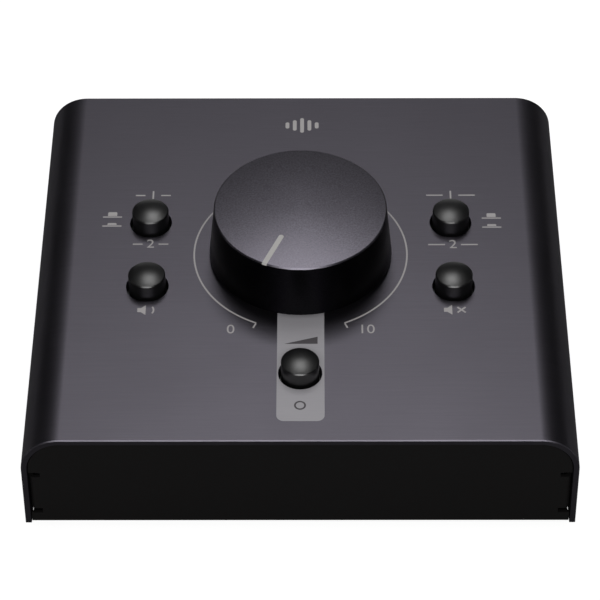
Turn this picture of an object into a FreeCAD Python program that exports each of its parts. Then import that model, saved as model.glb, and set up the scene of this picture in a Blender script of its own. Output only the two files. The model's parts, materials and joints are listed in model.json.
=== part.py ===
import FreeCAD, Part
import math
import os

from FreeCAD import Vector

# Studio monitor controller: a wedge-shaped case of a bent aluminium cover over
# a folded steel tray, with a large volume knob, five latching push buttons and
# the sockets on the rear wall. Millimetres. +Z is up, +X is the user's right and
# -Y is the front. The origin is the middle of the whole part at desk height.
#
# "Panel frame" below means: origin in the middle of the cover's front top edge,
# x to the right, y up the sloping panel to the rear, z out of the panel.

# Cover: aluminium sheet bent over the two long edges
CASE_WIDTH = 145.0
CASE_DEPTH = 132.9
COVER_FRONT_HEIGHT = 30.8
PANEL_SLOPE = 4.44
COVER_SHEET = 1.5
COVER_BEND_R = 10.5
COVER_FOOT_R = 1.6
COVER_EDGE_CHAMFER = 0.25

# Tray: folded steel sheet with front wall, floor and rear wall
TRAY_SHEET = 1.0
TRAY_BEND_R = 1.5
TRAY_GAP = 0.3
WALL_INSET = 0.3
COVER_OVERHANG = 0.6
FLANGE_TOP_DROP = 13.4
FLANGE_HEIGHT = 11.4
FLANGE_LENGTH = 13.0
RELIEF_HEIGHT = 1.6
RELIEF_DEPTH = 3.0

# Rubber feet
FOOT_HEIGHT = 3.0
FOOT_TOP_R = 6.0
FOOT_BOTTOM_R = 5.2
FOOT_EDGE_CHAMFER = 0.5
FOOT_INSET_X = 13.0
FOOT_INSET_Y = 14.0

# Countersunk screws through the cover's sides into the tray's flanges
SCREW_R = 1.5
SCREW_LENGTH = 5.0
SCREW_HEAD_R = 2.8
SCREW_HEAD_HEIGHT = 1.2
SCREW_SETBACK = 7.5
SCREW_CLEARANCE = 0.05
SCREW_COUNTERSINK_DEEPER = 0.1

# Volume knob, in the panel frame
KNOB_AXIS_Y = 68.8
KNOB_BASE_R = 24.95
KNOB_TOP_R = 23.4
KNOB_GAP = 1.0
KNOB_TOP_Z = 17.05
KNOB_DOME_RISE = 0.45
KNOB_CHAMFER = 0.35
KNOB_WALL = 2.4
KNOB_ROOF = 3.0
KNOB_HUB_R = 10.0
KNOB_START_ANGLE = 24.0
POINTER_WIDTH = 1.4
POINTER_INNER_R = 11.8
POINTER_DEPTH = 0.4

# Volume potentiometer with four gangs
SHAFT_R = 3.0
SHAFT_FLAT = 1.5
SHAFT_TOP_Z = 13.2
SHAFT_FIT = 0.05
INSERT_R = 7.0
INSERT_BOTTOM_Z = 6.2
BUSHING_R = 3.5
BUSHING_TOP_Z = 5.2
BUSHING_HOLE_CLEARANCE = 0.2
POT_WIDTH = 17.0
POT_DEPTH = 19.0
POT_PLATE = 1.6
POT_GANGS = 4
POT_GANG_PITCH = 5.0
POT_REAR_PLATE = 1.0
NUT_ACROSS_FLATS = 10.0
NUT_HEIGHT = 2.0
WASHER_R = 5.8
WASHER_HEIGHT = 0.5
TERMINAL_PITCH = 5.0
TERMINAL_WIDTH = 1.2
TERMINAL_SHEET = 0.5
TERMINAL_REACH = 3.0
POT_BOARD_WIDTH = 22.0

# Push buttons, in the panel frame
BUTTON_X = 41.5
BUTTON_REAR_Y = 80.8
BUTTON_FRONT_Y = 56.0
MONO_Y = 23.75
BUTTON_R = 5.05
BUTTON_HOLE_R = 5.7
BUTTON_PROUD = 5.4
BUTTON_DOME_RISE = 0.9
BUTTON_EDGE_R = 0.35
ROUND_STEPS = 3
BUTTON_SKIRT = 4.2
BUTTON_RIM_R = 6.5
BUTTON_RIM_HEIGHT = 1.2
BUTTON_TRAVEL = 3.0
BUTTON_STOP_GAP = 0.4
PLUNGER_SIDE = 3.0
PLUNGER_SOCKET = 4.0
PLUNGER_FIT = 0.05
SWITCH_SIDE = 8.5
SWITCH_HEIGHT = 9.2
SWITCH_FLOOR = 0.8
SPRING_R = 1.2
SPRING_WIRE = 0.35

# Circuit boards and what holds them
BOARD_SHEET = 1.6
CONTROL_BOARD_SIDE_GAP = 5.5
CONTROL_BOARD_FRONT_Y = 14.0
CONTROL_BOARD_REAR_Y = 94.0
CONTROL_POST_INSET = 6.0
POST_ACROSS_FLATS = 5.0
BOARD_SCREW_HEAD_R = 2.7
BOARD_SCREW_HEAD_HEIGHT = 1.6
BOARD_SCREW_R = 1.25
BOARD_SCREW_LENGTH = 5.0
BOARD_SCREW_HOLE_R = 1.45
MAIN_BOARD_SIDE_GAP = 1.0
MAIN_BOARD_DEPTH = 44.0
MAIN_BOARD_WALL_GAP = 0.5
FLOOR_POST_HEIGHT = 8.0
FLOOR_POST_INSET = 6.0
CUTOUT_GAP = 1.5

# Rear sockets
JACK_ROW_INSET = 0.8
JACK_GAP = 1.5
JACK_TO_RCA_GAP = 5.9
JACK_LENGTH = 27.0
JACK_HEIGHT = 13.0
JACK_NOSE_R = 4.5
JACK_NOSE_REACH = 4.6
JACK_BORE_R = 3.3
JACK_BORE_DEPTH = 30.0
JACK_EDGE_R = 0.8
JACK_HOLE_CLEARANCE = 0.2
JACK_NUT_ACROSS_FLATS = 12.0
JACK_NUT_HEIGHT = 2.4
RCA_PITCH = 14.0
RCA_BLOCK_WIDTH = 28.0
RCA_BLOCK_DEPTH = 12.0
RCA_BLOCK_HEIGHT = 14.0
RCA_SHELL_R = 4.15
RCA_SHELL_WALL = 0.45
RCA_REACH = 9.0
RCA_COLLAR_R = 5.4
RCA_COLLAR_HEIGHT = 1.2
RCA_PIN_BORE_R = 1.65
RCA_INSULATOR_SETBACK = 0.8

# Flat cable between the two boards
CABLE_WIDTH = 16.0
CABLE_SHEET = 0.9
CABLE_BEND_R = 1.8
CABLE_X = -24.0
CABLE_STEP = 8.0
CABLE_BOARD_INSET = 5.0

# Worked out from the sizes above
LONG = 400.0
RCA_INSULATOR_R = RCA_SHELL_R - RCA_SHELL_WALL
ORIGIN = Vector(0, 0, 0)
REAR_REACH = RCA_REACH - WALL_INSET
Y_FRONT = -(CASE_DEPTH + REAR_REACH) / 2
Y_REAR = Y_FRONT + CASE_DEPTH
TRAY_BOTTOM_Z = FOOT_HEIGHT
TRAY_FLOOR_Z = TRAY_BOTTOM_Z + TRAY_SHEET
COVER_BOTTOM_Z = TRAY_BOTTOM_Z - COVER_OVERHANG
PANEL_FRONT_Z = COVER_BOTTOM_Z + COVER_FRONT_HEIGHT
FRONT_WALL_Y = Y_FRONT + WALL_INSET
REAR_WALL_Y = Y_REAR - WALL_INSET
TRAY_HALF_WIDTH = CASE_WIDTH / 2 - COVER_SHEET - TRAY_GAP
FLANGE_TOP_Z = PANEL_FRONT_Z - FLANGE_TOP_DROP
FLANGE_BOTTOM_Z = FLANGE_TOP_Z - FLANGE_HEIGHT
SCREW_Z = FLANGE_BOTTOM_Z + FLANGE_HEIGHT / 2
PANEL_UNDER_Z = -COVER_SHEET
BUTTON_BOTTOM_Z = -BUTTON_SKIRT
SWITCH_TOP_Z = BUTTON_BOTTOM_Z - BUTTON_TRAVEL - BUTTON_STOP_GAP
CONTROL_BOARD_TOP_Z = SWITCH_TOP_Z - SWITCH_HEIGHT
CONTROL_BOARD_UNDER_Z = CONTROL_BOARD_TOP_Z - BOARD_SHEET
WELL_BOTTOM_Z = CONTROL_BOARD_TOP_Z + SWITCH_FLOOR
PLUNGER_BOTTOM_Z = WELL_BOTTOM_Z + BUTTON_TRAVEL + BUTTON_STOP_GAP
POT_BODY_TOP_Z = PANEL_UNDER_Z - POT_PLATE
POT_BODY_BOTTOM_Z = POT_BODY_TOP_Z - POT_GANGS * POT_GANG_PITCH
POT_BOARD_FRONT_Y = KNOB_AXIS_Y + POT_DEPTH / 2 + TERMINAL_REACH
MAIN_BOARD_UNDER_Z = TRAY_FLOOR_Z + FLOOR_POST_HEIGHT
MAIN_BOARD_TOP_Z = MAIN_BOARD_UNDER_Z + BOARD_SHEET
MAIN_BOARD_REAR_Y = REAR_WALL_Y - TRAY_SHEET - MAIN_BOARD_WALL_GAP
MAIN_BOARD_FRONT_Y = MAIN_BOARD_REAR_Y - MAIN_BOARD_DEPTH
JACK_Z = MAIN_BOARD_TOP_Z + JACK_HEIGHT / 2
MAIN_BOARD_HALF_WIDTH = CASE_WIDTH / 2 - SCREW_LENGTH - MAIN_BOARD_SIDE_GAP
CONTROL_BOARD_HALF_WIDTH = TRAY_HALF_WIDTH - TRAY_SHEET - CONTROL_BOARD_SIDE_GAP
JACK_ROW_WIDTH = 2 * (MAIN_BOARD_HALF_WIDTH - JACK_ROW_INSET) - RCA_BLOCK_WIDTH - JACK_TO_RCA_GAP
JACK_PITCH = (JACK_ROW_WIDTH + JACK_GAP) / 6
JACK_WIDTH = JACK_PITCH - JACK_GAP
JACK_FIRST_X = -MAIN_BOARD_HALF_WIDTH + JACK_ROW_INSET + JACK_WIDTH / 2
JACK_XS = [JACK_FIRST_X + i * JACK_PITCH for i in range(6)]
RCA_CENTRE_X = MAIN_BOARD_HALF_WIDTH - JACK_ROW_INSET - RCA_BLOCK_WIDTH / 2
RCA_XS = [RCA_CENTRE_X - RCA_PITCH / 2, RCA_CENTRE_X + RCA_PITCH / 2]
BUTTONS = {
    "input_select": (-BUTTON_X, BUTTON_REAR_Y),
    "dim": (-BUTTON_X, BUTTON_FRONT_Y),
    "monitor_select": (BUTTON_X, BUTTON_REAR_Y),
    "mute": (BUTTON_X, BUTTON_FRONT_Y),
    "mono": (0.0, MONO_Y),
}


def on_panel(shape):
    """Moves a shape from the panel frame to its place on the case."""
    placed = shape.copy()
    placed.rotate(ORIGIN, Vector(1, 0, 0), PANEL_SLOPE)
    placed.translate(Vector(0, Y_FRONT, PANEL_FRONT_Z))
    return placed


def box(x0, x1, y0, y1, z0, z1):
    return Part.makeBox(x1 - x0, y1 - y0, z1 - z0, Vector(x0, y0, z0))


def rod(x, y, z0, z1, radius):
    return Part.makeCylinder(radius, z1 - z0, Vector(x, y, z0))


def rod_y(x, z, y0, y1, radius):
    return Part.makeCylinder(radius, y1 - y0, Vector(x, y0, z), Vector(0, 1, 0))


def revolved(points):
    """Solid of revolution about Z from a closed (r, z) outline."""
    corners = [Vector(r, 0, z) for r, z in points]
    face = Part.Face(Part.makePolygon(corners + [corners[0]]))
    return face.revolve(ORIGIN, Vector(0, 0, 1), 360)


def dome_outline(edge_r, edge_z, rise, corner_r):
    """(r, z) points from a round edge up over a shallow dome to the axis."""
    points = []
    for i in range(ROUND_STEPS + 1):
        angle = math.pi / 2 * i / ROUND_STEPS
        points.append((edge_r - corner_r * (1 - math.cos(angle)), edge_z + corner_r * math.sin(angle)))
    start_r, start_z = points[-1]
    for i in range(1, ROUND_STEPS + 1):
        share = 1 - i / ROUND_STEPS
        points.append((start_r * share, start_z + rise * (1 - share * share)))
    return points


def hexagon(x, y, z0, z1, across_flats):
    corner_r = across_flats / math.sqrt(3)
    corners = []
    for i in range(7):
        angle = math.radians(60 * i)
        corners.append(Vector(x + corner_r * math.cos(angle), y + corner_r * math.sin(angle), z0))
    return Part.Face(Part.makePolygon(corners)).extrude(Vector(0, 0, z1 - z0))


def to_rear(shape, x, y, z):
    """Turns a shape modelled along +Z so that it points to the rear, at a place."""
    turned = shape.copy()
    turned.rotate(ORIGIN, Vector(1, 0, 0), -90)
    turned.translate(Vector(x, y, z))
    return turned


def group(solids):
    return Part.makeCompound(solids)


def upright_edges(shape, direction):
    """Straight edges that run along a direction."""
    found = []
    for edge in shape.Edges:
        if isinstance(edge.Curve, Part.Line):
            if abs(abs(edge.Curve.Direction.dot(direction)) - 1) < 1e-6:
                found.append(edge)
    return found


def bent_strip(points, sheet, bend_r):
    """Face of a folded sheet seen edge-on in the YZ plane, along its middle line."""
    left = []
    right = []
    half = sheet / 2
    place = Vector(0, *points[0])
    for i in range(1, len(points)):
        corner = Vector(0, *points[i])
        into = (corner - Vector(0, *points[i - 1])).normalize()
        side = Vector(0, -into.z, into.y)
        if i == len(points) - 1:
            left.append(Part.makeLine(place + side * half, corner + side * half))
            right.append(Part.makeLine(place - side * half, corner - side * half))
            continue
        onward = (Vector(0, *points[i + 1]) - corner).normalize()
        turn = math.atan2(into.y * onward.z - into.z * onward.y, into.dot(onward))
        reach = bend_r * math.tan(abs(turn) / 2)
        start = corner - into * reach
        sign = 1 if turn > 0 else -1
        centre = start + side * (sign * bend_r)
        spoke = FreeCAD.Rotation(Vector(1, 0, 0), math.degrees(turn / 2)).multVec(start - centre)
        last = FreeCAD.Rotation(Vector(1, 0, 0), math.degrees(turn)).multVec(start - centre)
        for edges, offset in ((left, half), (right, -half)):
            scale = (bend_r - sign * offset) / bend_r
            first_point = centre + (start - centre) * scale
            mid_point = centre + spoke * scale
            last_point = centre + last * scale
            edges.append(Part.makeLine(place + side * offset, first_point))
            edges.append(Part.Arc(first_point, mid_point, last_point).toShape())
        place = centre + last
    ends = [
        Part.makeLine(left[0].firstVertex().Point, right[0].firstVertex().Point),
        Part.makeLine(left[-1].lastVertex().Point, right[-1].lastVertex().Point),
    ]
    wire = Part.Wire(Part.__sortEdges__(left + right + ends))
    return Part.Face(wire)


def arch_prism(inset):
    """Long prism under the cover's outer skin less an inset, in its place on the case."""
    half = CASE_WIDTH / 2 - inset
    radius = COVER_BEND_R - inset
    lift = radius * math.sqrt(0.5)
    centre_x = half - radius
    centre_z = -inset - radius
    edges = [
        Part.makeLine(Vector(-half, 0, -LONG), Vector(-half, 0, centre_z)),
        Part.Arc(
            Vector(-half, 0, centre_z),
            Vector(-centre_x - lift, 0, centre_z + lift),
            Vector(-centre_x, 0, -inset),
        ).toShape(),
        Part.makeLine(Vector(-centre_x, 0, -inset), Vector(centre_x, 0, -inset)),
        Part.Arc(
            Vector(centre_x, 0, -inset),
            Vector(centre_x + lift, 0, centre_z + lift),
            Vector(half, 0, centre_z),
        ).toShape(),
        Part.makeLine(Vector(half, 0, centre_z), Vector(half, 0, -LONG)),
        Part.makeLine(Vector(half, 0, -LONG), Vector(-half, 0, -LONG)),
    ]
    prism = Part.Face(Part.Wire(edges)).extrude(Vector(0, 2 * LONG, 0))
    prism.translate(Vector(0, -LONG, 0))
    return on_panel(prism)


def screw_places():
    for side in (-1, 1):
        for y in (FRONT_WALL_Y + SCREW_SETBACK, REAR_WALL_Y - SCREW_SETBACK):
            yield side, y


def side_screw(grow, deeper, length):
    """Countersunk screw along +Z with its head's face at z = 0, grown by a clearance."""
    head_r = SCREW_HEAD_R + grow
    shank_r = SCREW_R + grow
    head_z = SCREW_HEAD_HEIGHT + deeper
    return revolved([(0, 0), (head_r, 0), (head_r, deeper), (shank_r, head_z), (shank_r, length), (0, length)])


def place_side_screw(shape, side, y):
    placed = shape.copy()
    placed.rotate(ORIGIN, Vector(0, 1, 0), -90 * side)
    placed.translate(Vector(side * CASE_WIDTH / 2, y, SCREW_Z))
    return placed


def cover_edges_to_chamfer(shape):
    """Edges round the outside of the cover's front and rear ends."""
    middle_of_sheet = arch_prism(COVER_SHEET / 2)
    found = []
    for edge in shape.Edges:
        bounds = edge.BoundBox
        on_end = min(abs(bounds.YMin - y) + abs(bounds.YMax - y) for y in (Y_FRONT, Y_REAR)) < 1e-3
        middle = edge.valueAt((edge.FirstParameter + edge.LastParameter) / 2)
        outside = not middle_of_sheet.isInside(middle, 1e-3, True)
        if on_end and outside and bounds.ZMax > PANEL_FRONT_Z - COVER_BEND_R:
            found.append(edge)
    return found


def make_cover():
    envelope = box(-LONG, LONG, Y_FRONT, Y_REAR, COVER_BOTTOM_Z, LONG)
    feet = [e for e in upright_edges(envelope, Vector(1, 0, 0)) if e.BoundBox.ZMax < PANEL_FRONT_Z]
    envelope = envelope.makeFillet(COVER_FOOT_R, feet)
    cover = arch_prism(0).cut(arch_prism(COVER_SHEET)).common(envelope)
    cover = cover.Solids[0]
    cover = cover.makeChamfer(COVER_EDGE_CHAMFER, cover_edges_to_chamfer(cover))
    holes = []
    for x, y in BUTTONS.values():
        holes.append(on_panel(rod(x, y, -2 * COVER_SHEET, COVER_SHEET, BUTTON_HOLE_R)))
    pot_hole_r = BUSHING_R + BUSHING_HOLE_CLEARANCE
    holes.append(on_panel(rod(0, KNOB_AXIS_Y, -2 * COVER_SHEET, COVER_SHEET, pot_hole_r)))
    drill = side_screw(SCREW_CLEARANCE, SCREW_COUNTERSINK_DEEPER, SCREW_LENGTH)
    for side, y in screw_places():
        holes.append(place_side_screw(drill, side, y))
    return cover.cut(holes)


def flange(side, front):
    """Side flange bent back from the front or rear wall, with its bend."""
    wall_y = FRONT_WALL_Y if front else REAR_WALL_Y
    inward = 1 if front else -1
    centre = Vector(side * (TRAY_HALF_WIDTH - TRAY_BEND_R), wall_y + inward * TRAY_BEND_R, FLANGE_BOTTOM_Z)
    ring = Part.makeCylinder(TRAY_BEND_R, FLANGE_HEIGHT, centre)
    ring = ring.cut(Part.makeCylinder(TRAY_BEND_R - TRAY_SHEET, FLANGE_HEIGHT, centre))
    corner = Part.makeBox(TRAY_BEND_R, TRAY_BEND_R, FLANGE_HEIGHT)
    corner.translate(Vector(
        centre.x if side > 0 else centre.x - TRAY_BEND_R,
        centre.y - TRAY_BEND_R if front else centre.y,
        FLANGE_BOTTOM_Z,
    ))
    xs = sorted((side * TRAY_HALF_WIDTH, side * (TRAY_HALF_WIDTH - TRAY_SHEET)))
    ys = sorted((centre.y, wall_y + inward * FLANGE_LENGTH))
    plate = box(xs[0], xs[1], ys[0], ys[1], FLANGE_BOTTOM_Z, FLANGE_TOP_Z)
    return ring.common(corner).fuse(plate)


def make_tray():
    middle = TRAY_SHEET / 2
    section = bent_strip(
        [
            (FRONT_WALL_Y + middle, LONG / 4),
            (FRONT_WALL_Y + middle, TRAY_BOTTOM_Z + middle),
            (REAR_WALL_Y - middle, TRAY_BOTTOM_Z + middle),
            (REAR_WALL_Y - middle, LONG / 4),
        ],
        TRAY_SHEET,
        TRAY_BEND_R - middle,
    )
    tray = section.extrude(Vector(LONG, 0, 0))
    tray.translate(Vector(-LONG / 2, 0, 0))
    tray = tray.common(arch_prism(COVER_SHEET + TRAY_GAP))
    cuts = []
    flanges = []
    for side in (-1, 1):
        for front in (True, False):
            wall_y = FRONT_WALL_Y if front else REAR_WALL_Y
            ys = sorted((wall_y, wall_y + TRAY_SHEET * (1 if front else -1)))
            bend_x = sorted((side * (TRAY_HALF_WIDTH - TRAY_BEND_R), side * CASE_WIDTH))
            relief_x = sorted((side * (TRAY_HALF_WIDTH - RELIEF_DEPTH), side * CASE_WIDTH))
            cuts.append(box(*bend_x, *ys, FLANGE_BOTTOM_Z, FLANGE_TOP_Z))
            cuts.append(box(*relief_x, *ys, FLANGE_TOP_Z, FLANGE_TOP_Z + RELIEF_HEIGHT))
            cuts.append(box(*relief_x, *ys, FLANGE_BOTTOM_Z - RELIEF_HEIGHT, FLANGE_BOTTOM_Z))
            flanges.append(flange(side, front))
    tray = tray.cut(cuts).fuse(flanges)
    holes = []
    drill = side_screw(SCREW_CLEARANCE, SCREW_COUNTERSINK_DEEPER, SCREW_LENGTH)
    for side, y in screw_places():
        holes.append(place_side_screw(drill, side, y))
    for x in JACK_XS:
        radius = JACK_NOSE_R + JACK_HOLE_CLEARANCE
        holes.append(rod_y(x, JACK_Z, REAR_WALL_Y - 2 * TRAY_SHEET, REAR_WALL_Y + TRAY_SHEET, radius))
    for x in RCA_XS:
        radius = RCA_INSULATOR_R + JACK_HOLE_CLEARANCE
        holes.append(rod_y(x, JACK_Z, REAR_WALL_Y - 2 * TRAY_SHEET, REAR_WALL_Y + TRAY_SHEET, radius))
    return tray.cut(holes).removeSplitter()


def make_cover_screws():
    screw = side_screw(0, 0, SCREW_LENGTH)
    return group([place_side_screw(screw, side, y) for side, y in screw_places()])


def make_feet():
    chamfer = FOOT_EDGE_CHAMFER
    outline = [(0, 0), (FOOT_BOTTOM_R - chamfer, 0), (FOOT_BOTTOM_R, chamfer), (FOOT_TOP_R, FOOT_HEIGHT), (0, FOOT_HEIGHT)]
    foot = revolved(outline)
    feet = []
    for x in (-CASE_WIDTH / 2 + FOOT_INSET_X, CASE_WIDTH / 2 - FOOT_INSET_X):
        for y in (Y_FRONT + FOOT_INSET_Y, Y_REAR - FOOT_INSET_Y):
            placed = foot.copy()
            placed.translate(Vector(x, y, 0))
            feet.append(placed)
    return group(feet)


def knob_outside(inset):
    """Solid inside the knob's outer skin less an inset, about the knob's axis."""
    flat_z = KNOB_TOP_Z - inset
    top_r = KNOB_TOP_R - inset
    outline = [(0, KNOB_GAP - inset), (KNOB_BASE_R - inset, KNOB_GAP - inset), (top_r, flat_z - KNOB_CHAMFER)]
    return revolved(outline + dome_outline(top_r - KNOB_CHAMFER, flat_z, KNOB_DOME_RISE, 0)[ROUND_STEPS:])


def pointer_groove():
    """The thin inlay from the knob's top face over its chamfer, at the low end of the dial."""
    skin = knob_outside(0).cut(knob_outside(POINTER_DEPTH))
    half = POINTER_WIDTH / 2
    reach = KNOB_TOP_R + POINTER_DEPTH
    bar = box(-half, half, -reach, -POINTER_INNER_R, KNOB_TOP_Z - KNOB_CHAMFER - POINTER_DEPTH / 2, 2 * KNOB_TOP_Z)
    inlay = skin.common(bar)
    inlay.rotate(ORIGIN, Vector(0, 0, 1), -KNOB_START_ANGLE)
    return inlay


def at_knob(shape):
    placed = shape.copy()
    placed.translate(Vector(0, KNOB_AXIS_Y, 0))
    return on_panel(placed)


def make_knob_shell():
    slope = (KNOB_BASE_R - KNOB_TOP_R) / (KNOB_TOP_Z - KNOB_GAP)
    roof_z = KNOB_TOP_Z - KNOB_ROOF
    inner_base_r = KNOB_BASE_R - KNOB_WALL
    inner_top_r = inner_base_r - slope * (roof_z - KNOB_GAP)
    hollow = revolved([
        (0, KNOB_GAP - KNOB_WALL),
        (inner_base_r, KNOB_GAP - KNOB_WALL),
        (inner_base_r, KNOB_GAP),
        (inner_top_r, roof_z),
        (0, roof_z),
    ])
    hub = rod(0, 0, INSERT_BOTTOM_Z, roof_z, KNOB_HUB_R).cut(rod(0, 0, INSERT_BOTTOM_Z, roof_z, INSERT_R))
    shell = knob_outside(0).cut(hollow).fuse(hub)
    return at_knob(shell.cut(pointer_groove()).removeSplitter())


def shaft_rod(radius, flat, z0, z1, flat_z0):
    """Round shaft with a flat from a height up to its top."""
    shaft = rod(0, 0, z0, z1, radius)
    return shaft.cut(box(-radius, radius, flat, 2 * radius, flat_z0, z1 + 1))


def make_knob_insert():
    roof_z = KNOB_TOP_Z - KNOB_ROOF
    bore = shaft_rod(SHAFT_R + SHAFT_FIT, SHAFT_FLAT + SHAFT_FIT, INSERT_BOTTOM_Z, SHAFT_TOP_Z + SHAFT_FIT, INSERT_BOTTOM_Z)
    return at_knob(rod(0, 0, INSERT_BOTTOM_Z, roof_z, INSERT_R).cut(bore))


def make_pot_shaft():
    return at_knob(shaft_rod(SHAFT_R, SHAFT_FLAT, POT_BODY_BOTTOM_Z, SHAFT_TOP_Z, BUSHING_TOP_Z))


def pot_block(z0, z1):
    return box(-POT_WIDTH / 2, POT_WIDTH / 2, -POT_DEPTH / 2, POT_DEPTH / 2, z0, z1)


def make_pot_bushing():
    plate = pot_block(POT_BODY_TOP_Z, PANEL_UNDER_Z)
    body = plate.fuse(rod(0, 0, POT_BODY_TOP_Z, BUSHING_TOP_Z, BUSHING_R))
    return at_knob(body.cut(rod(0, 0, POT_BODY_TOP_Z, BUSHING_TOP_Z, SHAFT_R + SHAFT_FIT)))


def make_pot_washer():
    ring = rod(0, 0, 0, WASHER_HEIGHT, WASHER_R)
    return at_knob(ring.cut(rod(0, 0, 0, WASHER_HEIGHT, BUSHING_R + SHAFT_FIT)))


def make_pot_nut():
    top = WASHER_HEIGHT + NUT_HEIGHT
    nut = hexagon(0, 0, WASHER_HEIGHT, top, NUT_ACROSS_FLATS)
    return at_knob(nut.cut(rod(0, 0, WASHER_HEIGHT, top, BUSHING_R + SHAFT_FIT)))


def make_pot_wafers():
    gangs = []
    for i in range(POT_GANGS):
        top = POT_BODY_TOP_Z - i * POT_GANG_PITCH
        bottom = top - POT_GANG_PITCH
        bore = rod(0, 0, bottom, top, SHAFT_R + SHAFT_FIT)
        gangs.append(at_knob(pot_block(bottom, top).cut(bore)))
    return group(gangs)


def make_pot_rear_plate():
    return at_knob(pot_block(POT_BODY_BOTTOM_Z - POT_REAR_PLATE, POT_BODY_BOTTOM_Z))


def make_pot_terminals():
    pins = []
    for i in range(POT_GANGS):
        z = POT_BODY_TOP_Z - (i + 0.5) * POT_GANG_PITCH
        for step in (-1, 0, 1):
            x = step * TERMINAL_PITCH
            pins.append(on_panel(box(
                x - TERMINAL_WIDTH / 2, x + TERMINAL_WIDTH / 2,
                KNOB_AXIS_Y + POT_DEPTH / 2, POT_BOARD_FRONT_Y,
                z - TERMINAL_SHEET / 2, z + TERMINAL_SHEET / 2,
            )))
    return group(pins)


def make_pot_board():
    return on_panel(box(
        -POT_BOARD_WIDTH / 2, POT_BOARD_WIDTH / 2,
        POT_BOARD_FRONT_Y, POT_BOARD_FRONT_Y + BOARD_SHEET,
        POT_BODY_BOTTOM_Z, POT_BODY_TOP_Z,
    ))


def make_button(x, y):
    """Cap with a domed top, a rim under the panel and a square socket for the plunger."""
    rim_z = BUTTON_BOTTOM_Z + BUTTON_RIM_HEIGHT
    edge_z = BUTTON_PROUD - BUTTON_DOME_RISE - BUTTON_EDGE_R
    outline = [(0, BUTTON_BOTTOM_Z), (BUTTON_RIM_R, BUTTON_BOTTOM_Z), (BUTTON_RIM_R, rim_z), (BUTTON_R, rim_z)]
    cap = revolved(outline + dome_outline(BUTTON_R, edge_z, BUTTON_DOME_RISE, BUTTON_EDGE_R))
    half = PLUNGER_SIDE / 2 + PLUNGER_FIT
    socket_top = BUTTON_BOTTOM_Z + PLUNGER_SOCKET
    cap = cap.cut(box(-half, half, -half, half, BUTTON_BOTTOM_Z, socket_top))
    cap.translate(Vector(x, y, 0))
    return on_panel(cap)


def make_plunger(x, y):
    half = PLUNGER_SIDE / 2
    top = BUTTON_BOTTOM_Z + PLUNGER_SOCKET
    return on_panel(box(x - half, x + half, y - half, y + half, PLUNGER_BOTTOM_Z, top))


def make_spring(x, y):
    outer = rod(x, y, WELL_BOTTOM_Z, PLUNGER_BOTTOM_Z, SPRING_R)
    return on_panel(outer.cut(rod(x, y, WELL_BOTTOM_Z, PLUNGER_BOTTOM_Z, SPRING_R - SPRING_WIRE)))


def make_switch_housings():
    housings = []
    half = SWITCH_SIDE / 2
    well = PLUNGER_SIDE / 2 + PLUNGER_FIT
    for x, y in BUTTONS.values():
        body = box(x - half, x + half, y - half, y + half, CONTROL_BOARD_TOP_Z, SWITCH_TOP_Z)
        body = body.cut(box(x - well, x + well, y - well, y + well, WELL_BOTTOM_Z, SWITCH_TOP_Z))
        housings.append(on_panel(body))
    return group(housings)


def control_post_places():
    half = CONTROL_BOARD_HALF_WIDTH - CONTROL_POST_INSET
    for x in (-half, half):
        for y in (CONTROL_BOARD_FRONT_Y + CONTROL_POST_INSET, CONTROL_BOARD_REAR_Y - CONTROL_POST_INSET):
            yield x, y


def make_control_board():
    board = box(
        -CONTROL_BOARD_HALF_WIDTH, CONTROL_BOARD_HALF_WIDTH,
        CONTROL_BOARD_FRONT_Y, CONTROL_BOARD_REAR_Y,
        CONTROL_BOARD_UNDER_Z, CONTROL_BOARD_TOP_Z,
    )
    cutout = box(
        -POT_BOARD_WIDTH / 2 - CUTOUT_GAP, POT_BOARD_WIDTH / 2 + CUTOUT_GAP,
        KNOB_AXIS_Y - POT_DEPTH / 2 - CUTOUT_GAP, POT_BOARD_FRONT_Y + BOARD_SHEET,
        CONTROL_BOARD_UNDER_Z, CONTROL_BOARD_TOP_Z,
    )
    holes = [rod(x, y, CONTROL_BOARD_UNDER_Z, CONTROL_BOARD_TOP_Z, BOARD_SCREW_HOLE_R) for x, y in control_post_places()]
    return on_panel(board.cut([cutout] + holes))


def board_post(x, y, z0, z1, open_below):
    """Hexagonal threaded post between a sheet and a board, with a blind hole for its screw."""
    post = hexagon(x, y, z0, z1, POST_ACROSS_FLATS)
    depth = BOARD_SCREW_LENGTH - BOARD_SHEET + SCREW_COUNTERSINK_DEEPER
    radius = BOARD_SCREW_R + SCREW_CLEARANCE
    if open_below:
        return post.cut(rod(x, y, z0, z0 + depth, radius))
    return post.cut(rod(x, y, z1 - depth, z1, radius))


def board_screw(x, y, seat_z, up):
    """Pan head screw whose head rests on a board's face."""
    if up:
        head = rod(x, y, seat_z, seat_z + BOARD_SCREW_HEAD_HEIGHT, BOARD_SCREW_HEAD_R)
        shank = rod(x, y, seat_z - BOARD_SCREW_LENGTH, seat_z, BOARD_SCREW_R)
    else:
        head = rod(x, y, seat_z - BOARD_SCREW_HEAD_HEIGHT, seat_z, BOARD_SCREW_HEAD_R)
        shank = rod(x, y, seat_z, seat_z + BOARD_SCREW_LENGTH, BOARD_SCREW_R)
    return head.fuse(shank)


def make_panel_posts():
    return group([
        on_panel(board_post(x, y, CONTROL_BOARD_TOP_Z, PANEL_UNDER_Z, True)) for x, y in control_post_places()
    ])


def make_panel_board_screws():
    return group([on_panel(board_screw(x, y, CONTROL_BOARD_UNDER_Z, False)) for x, y in control_post_places()])


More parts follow.
